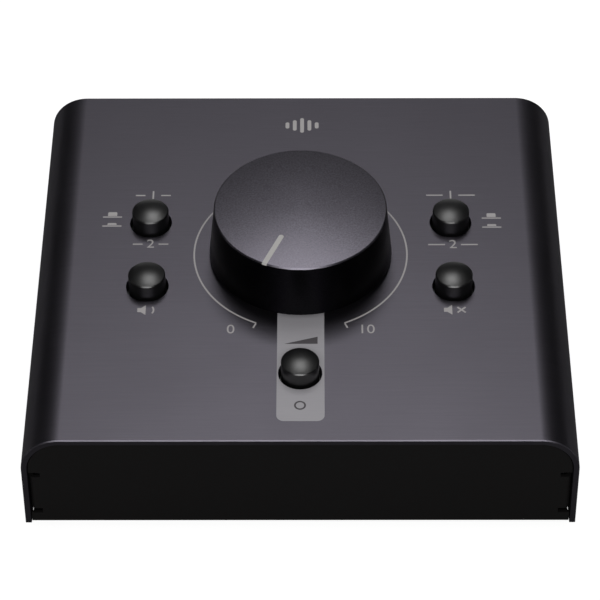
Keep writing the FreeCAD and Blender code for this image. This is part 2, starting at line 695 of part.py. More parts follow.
def floor_post_places():
    for x in (-MAIN_BOARD_HALF_WIDTH + FLOOR_POST_INSET, MAIN_BOARD_HALF_WIDTH - FLOOR_POST_INSET):
        for y in (MAIN_BOARD_FRONT_Y + FLOOR_POST_INSET, MAIN_BOARD_REAR_Y - JACK_LENGTH - FLOOR_POST_INSET / 2):
            yield x, y


def make_floor_posts():
    return group([
        board_post(x, y, TRAY_FLOOR_Z, MAIN_BOARD_UNDER_Z, False) for x, y in floor_post_places()
    ])


def make_main_board():
    board = box(
        -MAIN_BOARD_HALF_WIDTH, MAIN_BOARD_HALF_WIDTH,
        MAIN_BOARD_FRONT_Y, MAIN_BOARD_REAR_Y,
        MAIN_BOARD_UNDER_Z, MAIN_BOARD_TOP_Z,
    )
    holes = [rod(x, y, MAIN_BOARD_UNDER_Z, MAIN_BOARD_TOP_Z, BOARD_SCREW_HOLE_R) for x, y in floor_post_places()]
    return board.cut(holes)


def make_main_board_screws():
    return group([board_screw(x, y, MAIN_BOARD_TOP_Z, True) for x, y in floor_post_places()])


def make_jack(x):
    """Socket for a 6.35 mm plug: a moulded body on the board and a threaded nose."""
    wall_face = REAR_WALL_Y - TRAY_SHEET
    body = box(
        x - JACK_WIDTH / 2, x + JACK_WIDTH / 2, wall_face - JACK_LENGTH, wall_face, MAIN_BOARD_TOP_Z,
        MAIN_BOARD_TOP_Z + JACK_HEIGHT,
    )
    body = body.makeFillet(JACK_EDGE_R, [e for e in upright_edges(body, Vector(0, 1, 0)) if e.BoundBox.ZMin > JACK_Z])
    nose_end = REAR_WALL_Y + JACK_NOSE_REACH
    body = body.fuse(rod_y(x, JACK_Z, wall_face - JACK_EDGE_R, nose_end, JACK_NOSE_R))
    body = body.cut(rod_y(x, JACK_Z, nose_end - JACK_BORE_DEPTH, nose_end, JACK_BORE_R))
    return body.removeSplitter()


def make_jack_nuts():
    blank = hexagon(0, 0, 0, JACK_NUT_HEIGHT, JACK_NUT_ACROSS_FLATS)
    blank = blank.cut(rod(0, 0, 0, JACK_NUT_HEIGHT, JACK_NOSE_R + SHAFT_FIT))
    return group([to_rear(blank, x, REAR_WALL_Y, JACK_Z) for x in JACK_XS])


def make_rca_housing():
    """Moulded block inside the wall with an insulator out through the wall for each shell."""
    wall_face = REAR_WALL_Y - TRAY_SHEET
    block = box(
        RCA_CENTRE_X - RCA_BLOCK_WIDTH / 2, RCA_CENTRE_X + RCA_BLOCK_WIDTH / 2,
        wall_face - RCA_BLOCK_DEPTH, wall_face,
        MAIN_BOARD_TOP_Z, MAIN_BOARD_TOP_Z + RCA_BLOCK_HEIGHT,
    )
    end = REAR_WALL_Y + RCA_REACH
    for x in RCA_XS:
        block = block.fuse(rod_y(x, JACK_Z, wall_face, end - RCA_INSULATOR_SETBACK, RCA_INSULATOR_R))
        block = block.cut(rod_y(x, JACK_Z, wall_face - RCA_BLOCK_DEPTH / 2, end, RCA_PIN_BORE_R))
    return block.removeSplitter()


def rings_behind_wall(y0, y1, outer_r, inner_r):
    """One ring for each phono socket, between two distances behind the rear wall's face."""
    rings = []
    for x in RCA_XS:
        ring = rod_y(x, JACK_Z, REAR_WALL_Y + y0, REAR_WALL_Y + y1, outer_r)
        rings.append(ring.cut(rod_y(x, JACK_Z, REAR_WALL_Y + y0, REAR_WALL_Y + y1, inner_r)))
    return group(rings)


def make_rca_shells():
    return rings_behind_wall(RCA_COLLAR_HEIGHT, RCA_REACH, RCA_SHELL_R, RCA_INSULATOR_R)


def make_rca_collars():
    return rings_behind_wall(0, RCA_COLLAR_HEIGHT, RCA_COLLAR_R, RCA_INSULATOR_R + SHAFT_FIT)


def make_flat_cable():
    """Flat cable that leaves the control board downwards, steps to the rear and lands on the main board."""
    slope = math.radians(PANEL_SLOPE)
    land_y = MAIN_BOARD_FRONT_Y + CABLE_BOARD_INSET
    leave_y = land_y - CABLE_STEP
    under_z = PANEL_FRONT_Z + (leave_y - Y_FRONT) * math.tan(slope) + CONTROL_BOARD_UNDER_Z / math.cos(slope)
    middle_z = (MAIN_BOARD_TOP_Z + under_z) / 2
    section = bent_strip(
        [
            (leave_y, under_z + CABLE_SHEET),
            (leave_y, middle_z),
            (land_y, middle_z),
            (land_y, MAIN_BOARD_TOP_Z),
        ],
        CABLE_SHEET,
        CABLE_BEND_R,
    )
    strip = section.extrude(Vector(CABLE_WIDTH, 0, 0))
    strip.translate(Vector(CABLE_X - CABLE_WIDTH / 2, 0, 0))
    below = box(-LONG, LONG, -LONG, LONG, -LONG, CONTROL_BOARD_UNDER_Z)
    return strip.common(on_panel(below))


def save(name, shape):
    if shape.ShapeType == "Compound" and len(shape.Solids) == 1:
        shape = shape.Solids[0]
    shape.exportStep(os.path.join("parts", name + ".step"))


def main():
    os.makedirs("parts", exist_ok=True)
    parts = {
        "cover": make_cover(),
        "chassis_tray": make_tray(),
        "cover_screws": make_cover_screws(),
        "rubber_feet": make_feet(),
        "knob_shell": make_knob_shell(),
        "knob_insert": make_knob_insert(),
        "knob_pointer": at_knob(pointer_groove()),
        "pot_shaft": make_pot_shaft(),
        "pot_bushing": make_pot_bushing(),
        "pot_washer": make_pot_washer(),
        "pot_nut": make_pot_nut(),
        "pot_wafers": make_pot_wafers(),
        "pot_rear_plate": make_pot_rear_plate(),
        "pot_terminals": make_pot_terminals(),
        "pot_board": make_pot_board(),
        "switch_housings": make_switch_housings(),
        "control_board": make_control_board(),
        "panel_posts": make_panel_posts(),
        "panel_board_screws": make_panel_board_screws(),
        "main_board": make_main_board(),
        "floor_posts": make_floor_posts(),
        "main_board_screws": make_main_board_screws(),
        "input_a_jacks": group([make_jack(x) for x in JACK_XS[4:6]]),
        "monitor_a_jacks": group([make_jack(x) for x in JACK_XS[2:4]]),
        "monitor_b_jacks": group([make_jack(x) for x in JACK_XS[0:2]]),
        "jack_nuts": make_jack_nuts(),
        "rca_housing": make_rca_housing(),
        "rca_shells": make_rca_shells(),
        "rca_collars": make_rca_collars(),
        "flat_cable": make_flat_cable(),
    }
    for name, (x, y) in BUTTONS.items():
        parts[name + "_button"] = make_button(x, y)
        parts[name + "_plunger"] = make_plunger(x, y)
        parts[name + "_spring"] = make_spring(x, y)
    for name, shape in parts.items():
        save(name, shape)


main()
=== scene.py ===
"""Desktop monitor controller with a volume knob and five push buttons.

Everything is in metres, in the CAD model's own frame: +Z up, +X to the user's right, -Y to the front.
"Panel frame" means: origin in the middle of the cover's front top edge, x to the right, y up the sloping
panel and z out of it. Pieces are worked out in millimetres there or in a socket's own frame, and one of
the placing functions takes them to the case.
"""
import json
import math

import bmesh
import bpy
import numpy as np
from bpy.props import FloatProperty, FloatVectorProperty, PointerProperty
from mathutils import Matrix, Vector


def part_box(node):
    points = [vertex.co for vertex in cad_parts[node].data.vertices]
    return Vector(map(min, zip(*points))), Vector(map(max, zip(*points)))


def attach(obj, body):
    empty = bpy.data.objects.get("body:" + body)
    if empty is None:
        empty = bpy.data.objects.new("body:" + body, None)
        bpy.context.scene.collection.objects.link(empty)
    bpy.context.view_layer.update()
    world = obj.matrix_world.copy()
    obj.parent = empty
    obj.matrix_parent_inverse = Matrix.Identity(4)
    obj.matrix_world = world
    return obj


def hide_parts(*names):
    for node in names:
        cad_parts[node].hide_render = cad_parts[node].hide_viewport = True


bl_info = {
    "name": "Desktop monitor controller",
    "version": (1, 0, 0),
    "blender": (4, 5, 0),
    "location": "3D Viewport > Sidebar > Controller",
    "description": "Builds the finished surfaces, printing and studio of a desktop monitor controller",
    "category": "Object",
}

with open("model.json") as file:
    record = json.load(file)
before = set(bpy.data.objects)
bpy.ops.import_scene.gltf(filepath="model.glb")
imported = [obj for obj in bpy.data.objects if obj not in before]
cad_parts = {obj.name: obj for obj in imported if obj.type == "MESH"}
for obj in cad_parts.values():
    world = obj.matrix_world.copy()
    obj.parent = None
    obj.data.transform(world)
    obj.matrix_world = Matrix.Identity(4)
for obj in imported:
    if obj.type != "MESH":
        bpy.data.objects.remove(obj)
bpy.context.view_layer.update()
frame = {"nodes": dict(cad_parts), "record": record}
MM = 0.001
INSIDE_CASE = "case"
ON_KNOB = "volume_knob"

# The case in metres, from the CAD model's boxes
PANEL_SLOPE = math.radians(4.44)
COVER_LOW, COVER_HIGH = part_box("cover")
COVER_WIDTH = COVER_HIGH[0] - COVER_LOW[0]
Y_FRONT, Y_REAR = COVER_LOW[1], COVER_HIGH[1]
PANEL_FRONT_Z = COVER_HIGH[2] - (Y_REAR - Y_FRONT) * math.tan(PANEL_SLOPE)
REAR_WALL_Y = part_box("chassis_tray")[1][1]
SOCKET_Z = 0.5 * (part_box("jack_nuts")[0][2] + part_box("jack_nuts")[1][2])

# From here to the studio every size is in millimetres, and places on the panel are in the panel frame.
BUTTON_PLACES = {
    "input_select": (-41.5, 80.8),
    "dim": (-41.5, 56.0),
    "monitor_select": (41.5, 80.8),
    "mute": (41.5, 56.0),
    "mono": (0.0, 23.75),
}
KNOB_CENTRE = (0.0, 68.8)
# Lines in the cover's mesh that keep each hole inside a face of its own
GRID_LINES_Y = (40.0, 63.4, 73.8, 100.0)
GRID_LINE_X = 24.0
GRID_LINE_END = 13.0
GRID_LINE_FOOT = 3.0

# Holes of the cover, with the drill that makes them reaching past both faces
BUTTON_HOLE_R = 5.7
BUTTON_HOLE_FLARE = 0.12
POT_HOLE_R = 3.7
POT_HOLE_FLARE = 0.05
DRILL_DEPTH = 3.0
DRILL_REACH = 1.0
DRILL_MOUTH = 1.12

# Side screws, measured inwards from the side wall's face
SCREW_HEAD_R = 2.8
SCREW_SHANK_R = 1.5
SCREW_CONE = 1.2
SCREW_LENGTH = 5.0
SCREW_SINK = 0.02
SCREW_CLEARANCE = 0.05
SCREW_HOLE_DEPTH = 4.0
SCREW_RECESS_R = 1.0

# Knob, with heights over the panel
KNOB_CHAMFER = 0.35
KNOB_GAP = 1.0
KNOB_WALL = 2.4
KNOB_ROOF = 3.0
KNOB_HUB_R = 10.0
KNOB_HUB_BORE_R = 7.0
KNOB_HUB_Z = 6.2
POINTER_START_R = 11.8
POINTER_HALF_WIDTH = 0.7
POINTER_PROUD = 0.03
POINTER_SINK = 0.08
# Way in which the paint stands off the metal at the pointer's last three rows: outwards and upwards
POINTER_LEAN = ((0.4, 0.9), (0.9, 0.43), (0.99, 0.1))

# Buttons, with heights over the panel
BUTTON_DOME = 0.75
BUTTON_CHAMFER = 0.28
BUTTON_DOME_INSET = 0.3
BUTTON_RIM_R = 6.5
BUTTON_RIM_TOP = -3.0
BUTTON_RIM_UNDER = -4.2
BUTTON_WELL_R = 2.25
BUTTON_WELL_ROOF = -0.2

# Printing on the panel
DIAL_END_ANGLE = 23.9
DIAL_TICK = 2.0
PUSH_SYMBOLS = ((-52.3, 82.2), (52.9, 81.6))
SYMBOL_OUT_Y = 1.0
SYMBOL_IN_Y = -2.6
SYMBOL_Y = 47.0
DIM_SYMBOL_X = -42.2
MUTE_SYMBOL_X = 40.2
SPEAKER_SCALE = 1.35
FIGURE_SIZE = 4.6
# Each selector number's text, place and the reach of the short lines on both sides of it
SELECTOR_NUMBERS = (
    ("1", (-41.3, 91.9), 4.9),
    ("2", (-41.3, 72.4), 4.9),
    ("1", (41.9, 91.9), 6.8),
    ("2", (41.9, 72.1), 6.8),
)
SELECTOR_LINE_START = 2.2
DIAL_NUMBERS = (("0", (-18.6, 39.7)), ("10", (17.7, 39.7)))
LEVEL_BARS_CENTRE = (0.3, 121.2)
LEVEL_BAR_HEIGHTS = (2.6, 4.4, 6.2, 4.4, 2.6)
LEVEL_BAR_PITCH = 2.1
LEVEL_BAR_HALF_WIDTH = 0.55
LEVEL_BAR_ROUND = 0.5
STRIP_CORNERS = (-6.15, 6.8, 6.4, 47.0)
STRIP_ROUNDS = (2.0, 2.0, 0.4, 0.4)
STRIP_HOLE_R = 5.85
VOLUME_WEDGE = ((-4.2, 34.4), (4.6, 34.4), (4.6, 37.0))
MONO_RING_Y = 12.3
MONO_RING_RADII = (1.55, 1.1)

# Rear sockets, measured outwards from the rear wall's face
JACK_NODES = {
    "monitor_b_jacks": (-58.2, -41.7),
    "monitor_a_jacks": (-25.2, -8.7),
    "input_a_jacks": (7.8, 24.3),
}
TRAY_SHEET = 1.0
JACK_BORE_R = 3.3
JACK_BORE_DEPTH = 30.0
JACK_NOSE_R = 4.5
JACK_NOSE_REACH = 4.6
JACK_NECK_R = 3.8
JACK_THREAD_START = 1.4
JACK_THREAD_STEP = 0.3
JACK_THREAD_DEPTH = 0.28
JACK_BODY_HALF_WIDTH = 7.5
JACK_BODY_HALF_HEIGHT = 6.5
JACK_BODY_DEPTH = 28.0
JACK_BODY_HOLE_R = 3.9
NUT_HALF_FLAT = 6.0
NUT_CONE_R = 6.05
NUT_HEIGHT = 2.4
NUT_BORE_R = 4.55
PHONO_XS = (44.7, 58.7)
PHONO_SHELL_R = 4.15
PHONO_SHELL_BORE_R = 3.7
PHONO_REACH = 9.0
COLLAR_R = 5.4
COLLAR_BORE_R = 3.75
COLLAR_HEIGHT = 1.2

# Feet
FOOT_R = 6.0
FOOT_SOLE_R = 5.2
FOOT_HEIGHT = 3.0
FOOT_HOLLOW_R = 2.2
FOOT_HOLLOW_DEPTH = 0.4

# The studio is in metres. The camera's place is measured from the middle of the cover's front top edge.
CAMERA_FROM_PANEL = (0.003603, -0.514968, 0.495300)
CAMERA_PAN = math.radians(0.3757)
CAMERA_DOWN = math.radians(40.9625)
CAMERA_ROLL = math.radians(-0.3087)
CAMERA_SHIFT_Y = -0.0017
FLOOR_HALF = 6.0
SHADE_LOW = (-0.0705, -0.0655)
SHADE_HIGH = (0.0705, 0.0575)
SHADE_Z = 0.0002
CARD_X = 1.0
CARD_FRONT_Y = -1.3
CARD_REAR_Y = 1.6
CARD_TOP_Z = 1.3
REAR_GAP_X = 0.6
REAR_GAP_TOP = 0.5
SIDE_GAP_Y = (-0.35, 0.15)
SIDE_GAP_TOP = 0.3
GREY_CARD_X = 0.6
GREY_CARD_Y = (-1.2, 0.9)
GREY_CARD_Z = 0.0004
OPEN_STRIP_X = 0.08
OVERHEAD_PLACE, OVERHEAD_AIM, OVERHEAD_SIZE = (0.0, 0.45, 1.2), (0.0, 0.45, 0.0), (0.4, 0.6)
FRONT_LAMP_PLACE, FRONT_LAMP_AIM, FRONT_LAMP_SIZE = (0.0, -1.0, 0.82), (0.0, 0.0, 0.03), (0.9, 0.2)
# Levels of the studio's greys, as shares of white
BLACK_CARD = 0.004
GREY_CARD = 0.10
SHADE = 0.02
FLOOR_GREY = 0.25
FLOOR_GLOW = 0.89


def linear_rgb(hex_colour):
    """An sRGB hex colour as the linear red, green and blue that Blender works in."""
    parts = np.array([int(hex_colour[i : i + 2], 16) for i in (0, 2, 4)]) / 255.0
    linear = np.where(parts <= 0.04045, parts / 12.92, ((parts + 0.055) / 1.055) ** 2.4)
    return tuple(float(value) for value in linear)


def length_property(name, description, default):
    return FloatProperty(
        name=name, description=description, default=default, min=0.0, unit="LENGTH", precision=5
    )


def colour_property(name, description, hex_colour):
    return FloatVectorProperty(
        name=name, description=description, default=linear_rgb(hex_colour), subtype="COLOR", min=0.0, max=1.0
    )


class CaseSettings(bpy.types.PropertyGroup):
    """Sizes and colours of the cover and the tray."""

    sheet: length_property("Cover sheet", "Thickness of the cover's aluminium", 1.5 * MM)
    bend: length_property("Bend radius", "Outside radius of the cover's two long bends", 10.5 * MM)
    foot_round: length_property("Foot radius", "Radius of the side walls' lower corners", 1.6 * MM)
    edge: length_property("Edge chamfer", "Bright chamfer round the cover's two ends", 0.25 * MM)
    cover_colour: colour_property("Cover", "Dyed anodised aluminium of the cover", "66636B")
    coat_colour: colour_property("Tray", "Powder coat of the tray", "131212")


class ControlSettings(bpy.types.PropertyGroup):
    """Sizes and colours of the knob and the buttons."""

    knob_base: length_property("Knob base radius", "Radius at the knob's lower edge", 24.95 * MM)
    knob_top: length_property("Knob top radius", "Radius at the knob's upper edge", 23.4 * MM)
    knob_height: length_property("Knob height", "Height of the knob's flat edge over the panel", 17.05 * MM)
    knob_dome: length_property("Knob dome", "Rise of the knob's top from edge to middle", 0.45 * MM)
    knob_shading_rise: length_property("Knob shading", "Rise of the dome that shades the top", 1.1 * MM)
    button_radius: length_property("Button radius", "Radius of each push button", 5.05 * MM)
    button_proud: length_property("Button height", "Height of each button's middle over the panel", 5.4 * MM)
    start_angle: FloatProperty(
        name="Pointer angle", description="Pointer's angle left of straight to the front",
        default=math.radians(24), subtype="ANGLE",
    )
    knob_colour: colour_property("Knob top", "Turned and dyed aluminium of the knob's top", "65626A")
    # The wall is the same anodised metal as the top; its darker colour is painted shade on the upright side.
    shaded_wall_colour: colour_property("Knob wall", "Deep black anodised aluminium of the knob's wall", "242326")
    button_colour: colour_property("Buttons", "Moulded black plastic of the buttons", "0A0A0B")
    pointer_colour: colour_property("Pointer", "Paint that fills the pointer's groove", "A8A6A4")


class PrintSettings(bpy.types.PropertyGroup):
    """Sizes and colours of the screen printing."""

    arc_radius: length_property("Dial radius", "Radius of the printed dial arc", 29.16 * MM)
    line: length_property("Line", "Width of the printed lines", 0.45 * MM)
    thickness: length_property("Ink", "Thickness of the printed ink", 0.02 * MM)
    ink_colour: colour_property("Ink", "Warm grey printing ink", "A09D9D")
    strip_colour: colour_property("Strip", "Printed strip round the mono button", "969498")


class StageSettings(bpy.types.PropertyGroup):
    """Camera lens, lamps and floor."""

    lens: FloatProperty(name="Lens", description="Focal length on a 36 mm sensor", default=166.697, min=1.0)
    key_power: FloatProperty(
        name="Overhead light", description="Power of the overhead light in watts", default=3.8, min=0.0
    )
    front_power: FloatProperty(
        name="Front light", description="Power of the light over the front in watts", default=6.3, min=0.0
    )
    world_strength: FloatProperty(
        name="Room light", description="Strength of the even light all round", default=0.44, min=0.0
    )
    floor_colour: colour_property("Floor", "Pale floor under the controller", "F4F4F4")


# Placing


def on_panel(points, centre=(0.0, 0.0)):
    """Millimetres round a point of the panel to metres: a turn by the slope about X, then a shift."""
    points = np.asarray(points, float)
    x = (points[..., 0] + centre[0]) * MM
    y = (points[..., 1] + centre[1]) * MM
    z = points[..., 2] * MM
    c, s = math.cos(PANEL_SLOPE), math.sin(PANEL_SLOPE)
    return np.stack((x, Y_FRONT + y * c - z * s, PANEL_FRONT_Z + y * s + z * c), axis=-1)


def behind_wall(points, x):
    """Millimetres about a socket's axis to metres: z becomes the way out of the rear wall."""
    points = np.asarray(points, float) * MM
    across, out, up = points[..., 0], points[..., 2], points[..., 1]
    return np.stack((x * MM - across, REAR_WALL_Y + out, SOCKET_Z + up), axis=-1)


def beside_case(points, side, y, z):
    """Millimetres about a side screw's axis to metres: z becomes the way out of the side wall."""
    points = np.asarray(points, float) * MM
    out = side * (COVER_WIDTH / 2 + points[..., 2])
    return np.stack((out, y + side * points[..., 0], z + points[..., 1]), axis=-1)


# Surfaces


def grid_quads(rows, columns, wrap_rows=False, wrap_columns=False):
    """Corner numbers of the quads between the points of a grid that is counted row by row."""
    row, column = np.meshgrid(
        np.arange(rows if wrap_rows else rows - 1),
        np.arange(columns if wrap_columns else columns - 1),
        indexing="ij",
    )
    here, after = row * columns, (row + 1) % rows * columns
    beside = (column + 1) % columns
    return np.stack((here + column, here + beside, after + beside, after + column), axis=-1).reshape(-1, 4)


def rounded_corners(corners, steps=5):
    """A profile whose corner (a, b, radius) becomes an arc that touches both of its sides."""
    points = []
    for i, (a, b, radius) in enumerate(corners):
        here = np.array((a, b))
        if radius <= 0 or i in (0, len(corners) - 1):
            points.append(here[None])
            continue
        before = np.array(corners[i - 1][:2]) - here
        after = np.array(corners[i + 1][:2]) - here
        before /= np.linalg.norm(before)
        after /= np.linalg.norm(after)
        half = math.acos(float(np.clip(before @ after, -1, 1))) / 2
        reach = radius / math.tan(half)
        middle = here + (before + after) / np.linalg.norm(before + after) * radius / math.sin(half)
        first, last = here + before * reach - middle, here + after * reach - middle
        turn = np.linspace(0, 1, steps + 1)[:, None]
        blend = first * (1 - turn) + last * turn
        points.append(middle + blend / np.linalg.norm(blend, axis=1, keepdims=True) * radius)
    return np.concatenate(points)


def dome(radius, edge_z, rise, count=10):
    """Profile of a shallow dome from its middle to its edge: z = edge + rise (1 - (r / radius)^2)."""
    r = np.linspace(0, radius, count)
    return np.stack((r, edge_z + rise * (1 - (r / radius) ** 2)), axis=1)


def turned(profile, steps):
    """Surface of revolution: the profile's (r, z) at angle t is (r cos t, r sin t, z)."""
    profile = np.asarray(profile, float)
    turn = np.linspace(0, 2 * math.pi, steps + 1)
    r, z = profile[:, :1], profile[:, 1:2]
    points = np.stack((r * np.cos(turn), r * np.sin(turn), z + 0 * turn), axis=-1)
    along = np.concatenate(([0], np.cumsum(np.linalg.norm(np.diff(profile, axis=0), axis=1))))
    uv = np.stack(np.broadcast_arrays(turn / (2 * math.pi), along[:, None] / 100), axis=-1)
    return points, uv


def mesh_from(points, quads, uv=None, ends=()):
    """Mesh of points, quads and end faces, with its doubles merged and its faces turned outwards."""
    mesh = bpy.data.meshes.new("surface")
    mesh.from_pydata(points.reshape(-1, 3).tolist(), [], quads.tolist() + list(ends))
    if uv is not None:
        corners = np.empty(len(mesh.loops), dtype=np.int32)
        mesh.loops.foreach_get("vertex_index", corners)
        layer = mesh.uv_layers.new(name="Along")
        layer.uv.foreach_set("vector", uv.reshape(-1, 2)[corners].astype(np.float32).ravel())
    work = bmesh.new()
    work.from_mesh(mesh)
    bmesh.ops.remove_doubles(work, verts=work.verts, dist=2e-7)
    bmesh.ops.dissolve_degenerate(work, edges=work.edges, dist=1e-8)
    bmesh.ops.recalc_face_normals(work, faces=work.faces)
    work.to_mesh(mesh)
    work.free()
    return mesh


def turned_mesh(profile, place, steps):
    """A turned piece from a profile in millimetres, placed on the case by one of the placing functions."""
    points, uv = turned(profile, steps)
    return mesh_from(place(points), grid_quads(points.shape[0], points.shape[1]), uv)


def joined(meshes):
    """One mesh of several, with their UV maps and faces kept."""
    work = bmesh.new()
    for mesh in meshes:
        work.from_mesh(mesh)
        bpy.data.meshes.remove(mesh)
    result = bpy.data.meshes.new("surface")
    work.to_mesh(result)
    work.free()
    return result


def tidied(node):
    """Copy of a CAD node's mesh with its loose triangles merged and each plane made one face."""
    mesh = frame["nodes"][node].data.copy()
    mesh.materials.clear()
    work = bmesh.new()
    work.from_mesh(mesh)
    bmesh.ops.remove_doubles(work, verts=work.verts, dist=1e-6)
    bmesh.ops.dissolve_degenerate(work, edges=work.edges, dist=1e-7)
    bmesh.ops.dissolve_limit(work, angle_limit=math.radians(0.4), verts=work.verts, edges=work.edges)
    bmesh.ops.recalc_face_normals(work, faces=work.faces)
    work.to_mesh(mesh)
    work.free()
    return mesh


def baked(piece):
    """Puts a piece's modifiers into its mesh."""
    bpy.context.view_layer.update()
    depsgraph = bpy.context.evaluated_depsgraph_get()
    mesh = bpy.data.meshes.new_from_object(piece.evaluated_get(depsgraph), depsgraph=depsgraph)
    piece.modifiers.clear()
    piece.data = mesh


def cut_out(piece, cutter_mesh):
    """Takes a closed cutter away from a piece."""
    cutter = bpy.data.objects.new("cutter", cutter_mesh)
    bpy.context.scene.collection.objects.link(cutter)
    boolean = piece.modifiers.new("Cut", "BOOLEAN")
    boolean.operation = "DIFFERENCE"
    boolean.solver = "EXACT"
    boolean.object = cutter
    baked(piece)
    bpy.data.objects.remove(cutter)
    bpy.data.meshes.remove(cutter_mesh)


def drilled(mesh, cutter_mesh):
    """A mesh with a closed cutter taken away from it."""
    piece = bpy.data.objects.new("drilled", mesh)
    bpy.context.scene.collection.objects.link(piece)
    cut_out(piece, cutter_mesh)
    result = piece.data
    bpy.data.objects.remove(piece)
    return result


def shading_arrays(mesh, sharp):
    """Smooths a mesh up to a corner angle, then reads its arrays.

    They are the corners' directions, the faces' directions and middles, each corner's point, and the number
    of each corner's face.
    """
    mesh.shade_smooth()
    mesh.set_sharp_from_angle(angle=math.radians(sharp))
    arrays = []
    for items, field in (
        (mesh.corner_normals, "vector"),
        (mesh.polygons, "normal"),
        (mesh.polygons, "center"),
        (mesh.vertices, "co"),
    ):
        values = np.empty(len(items) * 3)
        items.foreach_get(field, values)
        arrays.append(values.reshape(-1, 3))
    vertex = np.empty(len(mesh.loops), dtype=np.int32)
    mesh.loops.foreach_get("vertex_index", vertex)
    total = np.empty(len(mesh.polygons), dtype=np.int32)
    mesh.polygons.foreach_get("loop_total", total)
    normals, flat, middle, spots = arrays
    return normals, flat, middle, spots[vertex], np.repeat(np.arange(len(total)), total)


def put(name, mesh, materials, body, sharp=32.0, replaces=(), cutters=(), shading=None):
    """Makes a piece of a mesh, with its cuts, finish, shading and body.

    The shading is smooth up to a corner angle, unless the piece has a shading function of its own.
    """
    mesh.name = name
    piece = bpy.data.objects.new(name, mesh)
    bpy.context.scene.collection.objects.link(piece)
    for cutter in cutters:
        cut_out(piece, cutter)
    piece.data.materials.clear()
    for material in materials:
        piece.data.materials.append(material)
    if shading:
        shading(piece.data)
    else:
        piece.data.shade_smooth()
        piece.data.set_sharp_from_angle(angle=math.radians(sharp))
        weighted = piece.modifiers.new("Flat faces stay flat", "WEIGHTED_NORMAL")
        weighted.keep_sharp = True
    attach(piece, body)
    if replaces:
        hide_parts(*replaces)
    return piece


# Materials


def add_node(tree, kind, inputs=None, **settings):
    """Adds a shader node, gives it its settings, and sets or links its inputs by name or number."""
    node = tree.nodes.new(kind)
    for name, value in settings.items():
        setattr(node, name, value)
    for name, value in (inputs or {}).items():
        if isinstance(value, bpy.types.NodeSocket):
            tree.links.new(value, node.inputs[name])
        else:
            node.inputs[name].default_value = value
    return node


def blank_tree(owner):
    """The empty shader tree of a material or a world."""
    owner.use_nodes = True
    owner.node_tree.nodes.clear()
    return owner.node_tree


def start_material(name):
    """An empty material with its shader, and the Object coordinates that its patterns read."""
    material = bpy.data.materials.new(name)
    tree = blank_tree(material)
    coordinates = add_node(tree, "ShaderNodeTexCoord").outputs["Object"]
    shader = add_node(tree, "ShaderNodeBsdfPrincipled")
    add_node(tree, "ShaderNodeOutputMaterial", {"Surface": shader.outputs["BSDF"]})
    return material, tree, shader, coordinates


def vary(tree, shader, colour, tint, roughness, bump):
    """Lets patterns vary a finish.

    Tint is a pattern and the share by which the colour's brightness varies with it. Roughness is a pattern
    and the two values between which it runs as the pattern goes from 0.25 to 0.75. Bump is a pattern and
    its height in mm.
    """
    pattern, share = tint
    dark = tuple(value * (1 - share) for value in colour) + (1.0,)
    light = tuple(min(1.0, value * (1 + share)) for value in colour) + (1.0,)
    mix = add_node(tree, "ShaderNodeMix", {0: pattern, 6: dark, 7: light}, data_type="RGBA")
    pattern, low, high = roughness
    spread = {"Value": pattern, "From Min": 0.25, "From Max": 0.75, "To Min": low, "To Max": high}
    rough = add_node(tree, "ShaderNodeMapRange", spread)
    pattern, height = bump
    raised = add_node(tree, "ShaderNodeBump", {"Height": pattern, "Strength": 1.0, "Distance": height * MM})
    tree.links.new(mix.outputs[2], shader.inputs["Base Color"])
    tree.links.new(rough.outputs["Result"], shader.inputs["Roughness"])
    tree.links.new(raised.outputs["Normal"], shader.inputs["Normal"])


def surface_material(
    name, colour, metallic=0.0, roughness=0.5, grain=0.3, depth=0.01, stretch=(1, 1, 1), tint=0.06,
    specular=0.5, coat=0.0,
):
    """A finish whose grain, in mm, varies its colour, roughness and height.

    A stretch below one draws the grain out along that axis.
    """
    material, tree, shader, coordinates = start_material(name)
    scaled = add_node(tree, "ShaderNodeMapping", {"Vector": coordinates, "Scale": stretch})
    fine = {"Vector": scaled.outputs["Vector"], "Scale": 1.0 / (grain * MM), "Detail": 3.0}
    fine = add_node(tree, "ShaderNodeTexNoise", fine).outputs["Fac"]
    clouds = {"Vector": coordinates, "Scale": 1.0 / (18 * MM), "Detail": 2.0}
    clouds = add_node(tree, "ShaderNodeTexNoise", clouds).outputs["Fac"]
    both = add_node(tree, "ShaderNodeMix", {0: 0.35, 2: fine, 3: clouds}).outputs[0]
    vary(tree, shader, colour, (fine, tint), (both, roughness - 0.06, roughness + 0.06), (fine, depth))
    shader.inputs["Metallic"].default_value = metallic
    if not metallic:
        shader.inputs["Specular IOR Level"].default_value = specular
        shader.inputs["Coat Weight"].default_value = coat
    return material


def brushed_anodised_aluminium(colour):
    """Aluminium sheet brushed from side to side and dyed grey: fine lines that spread each highlight."""
    material, tree, shader, coordinates = start_material("brushed_anodised_aluminium")
    # Real brush lines lie about 0.05 mm apart. They are drawn 0.28 mm apart so that they show.
    lines = add_node(tree, "ShaderNodeMapping", {"Vector": coordinates, "Scale": (0.02, 1.0, 0.02)})
    brush = {"Vector": lines.outputs["Vector"], "Scale": 1.0 / (0.28 * MM), "Detail": 4.0, "Roughness": 0.65}
    brush = add_node(tree, "ShaderNodeTexNoise", brush).outputs["Fac"]
    clouds = {"Vector": coordinates, "Scale": 1.0 / (30 * MM), "Detail": 2.0}
    clouds = add_node(tree, "ShaderNodeTexNoise", clouds).outputs["Fac"]
    both = add_node(tree, "ShaderNodeMix", {0: 0.4, 2: brush, 3: clouds})
    vary(tree, shader, colour, (brush, 0.16), (both.outputs[0], 0.38, 0.46), (brush, 0.004))
    shader.inputs["Metallic"].default_value = 1.0
    return material


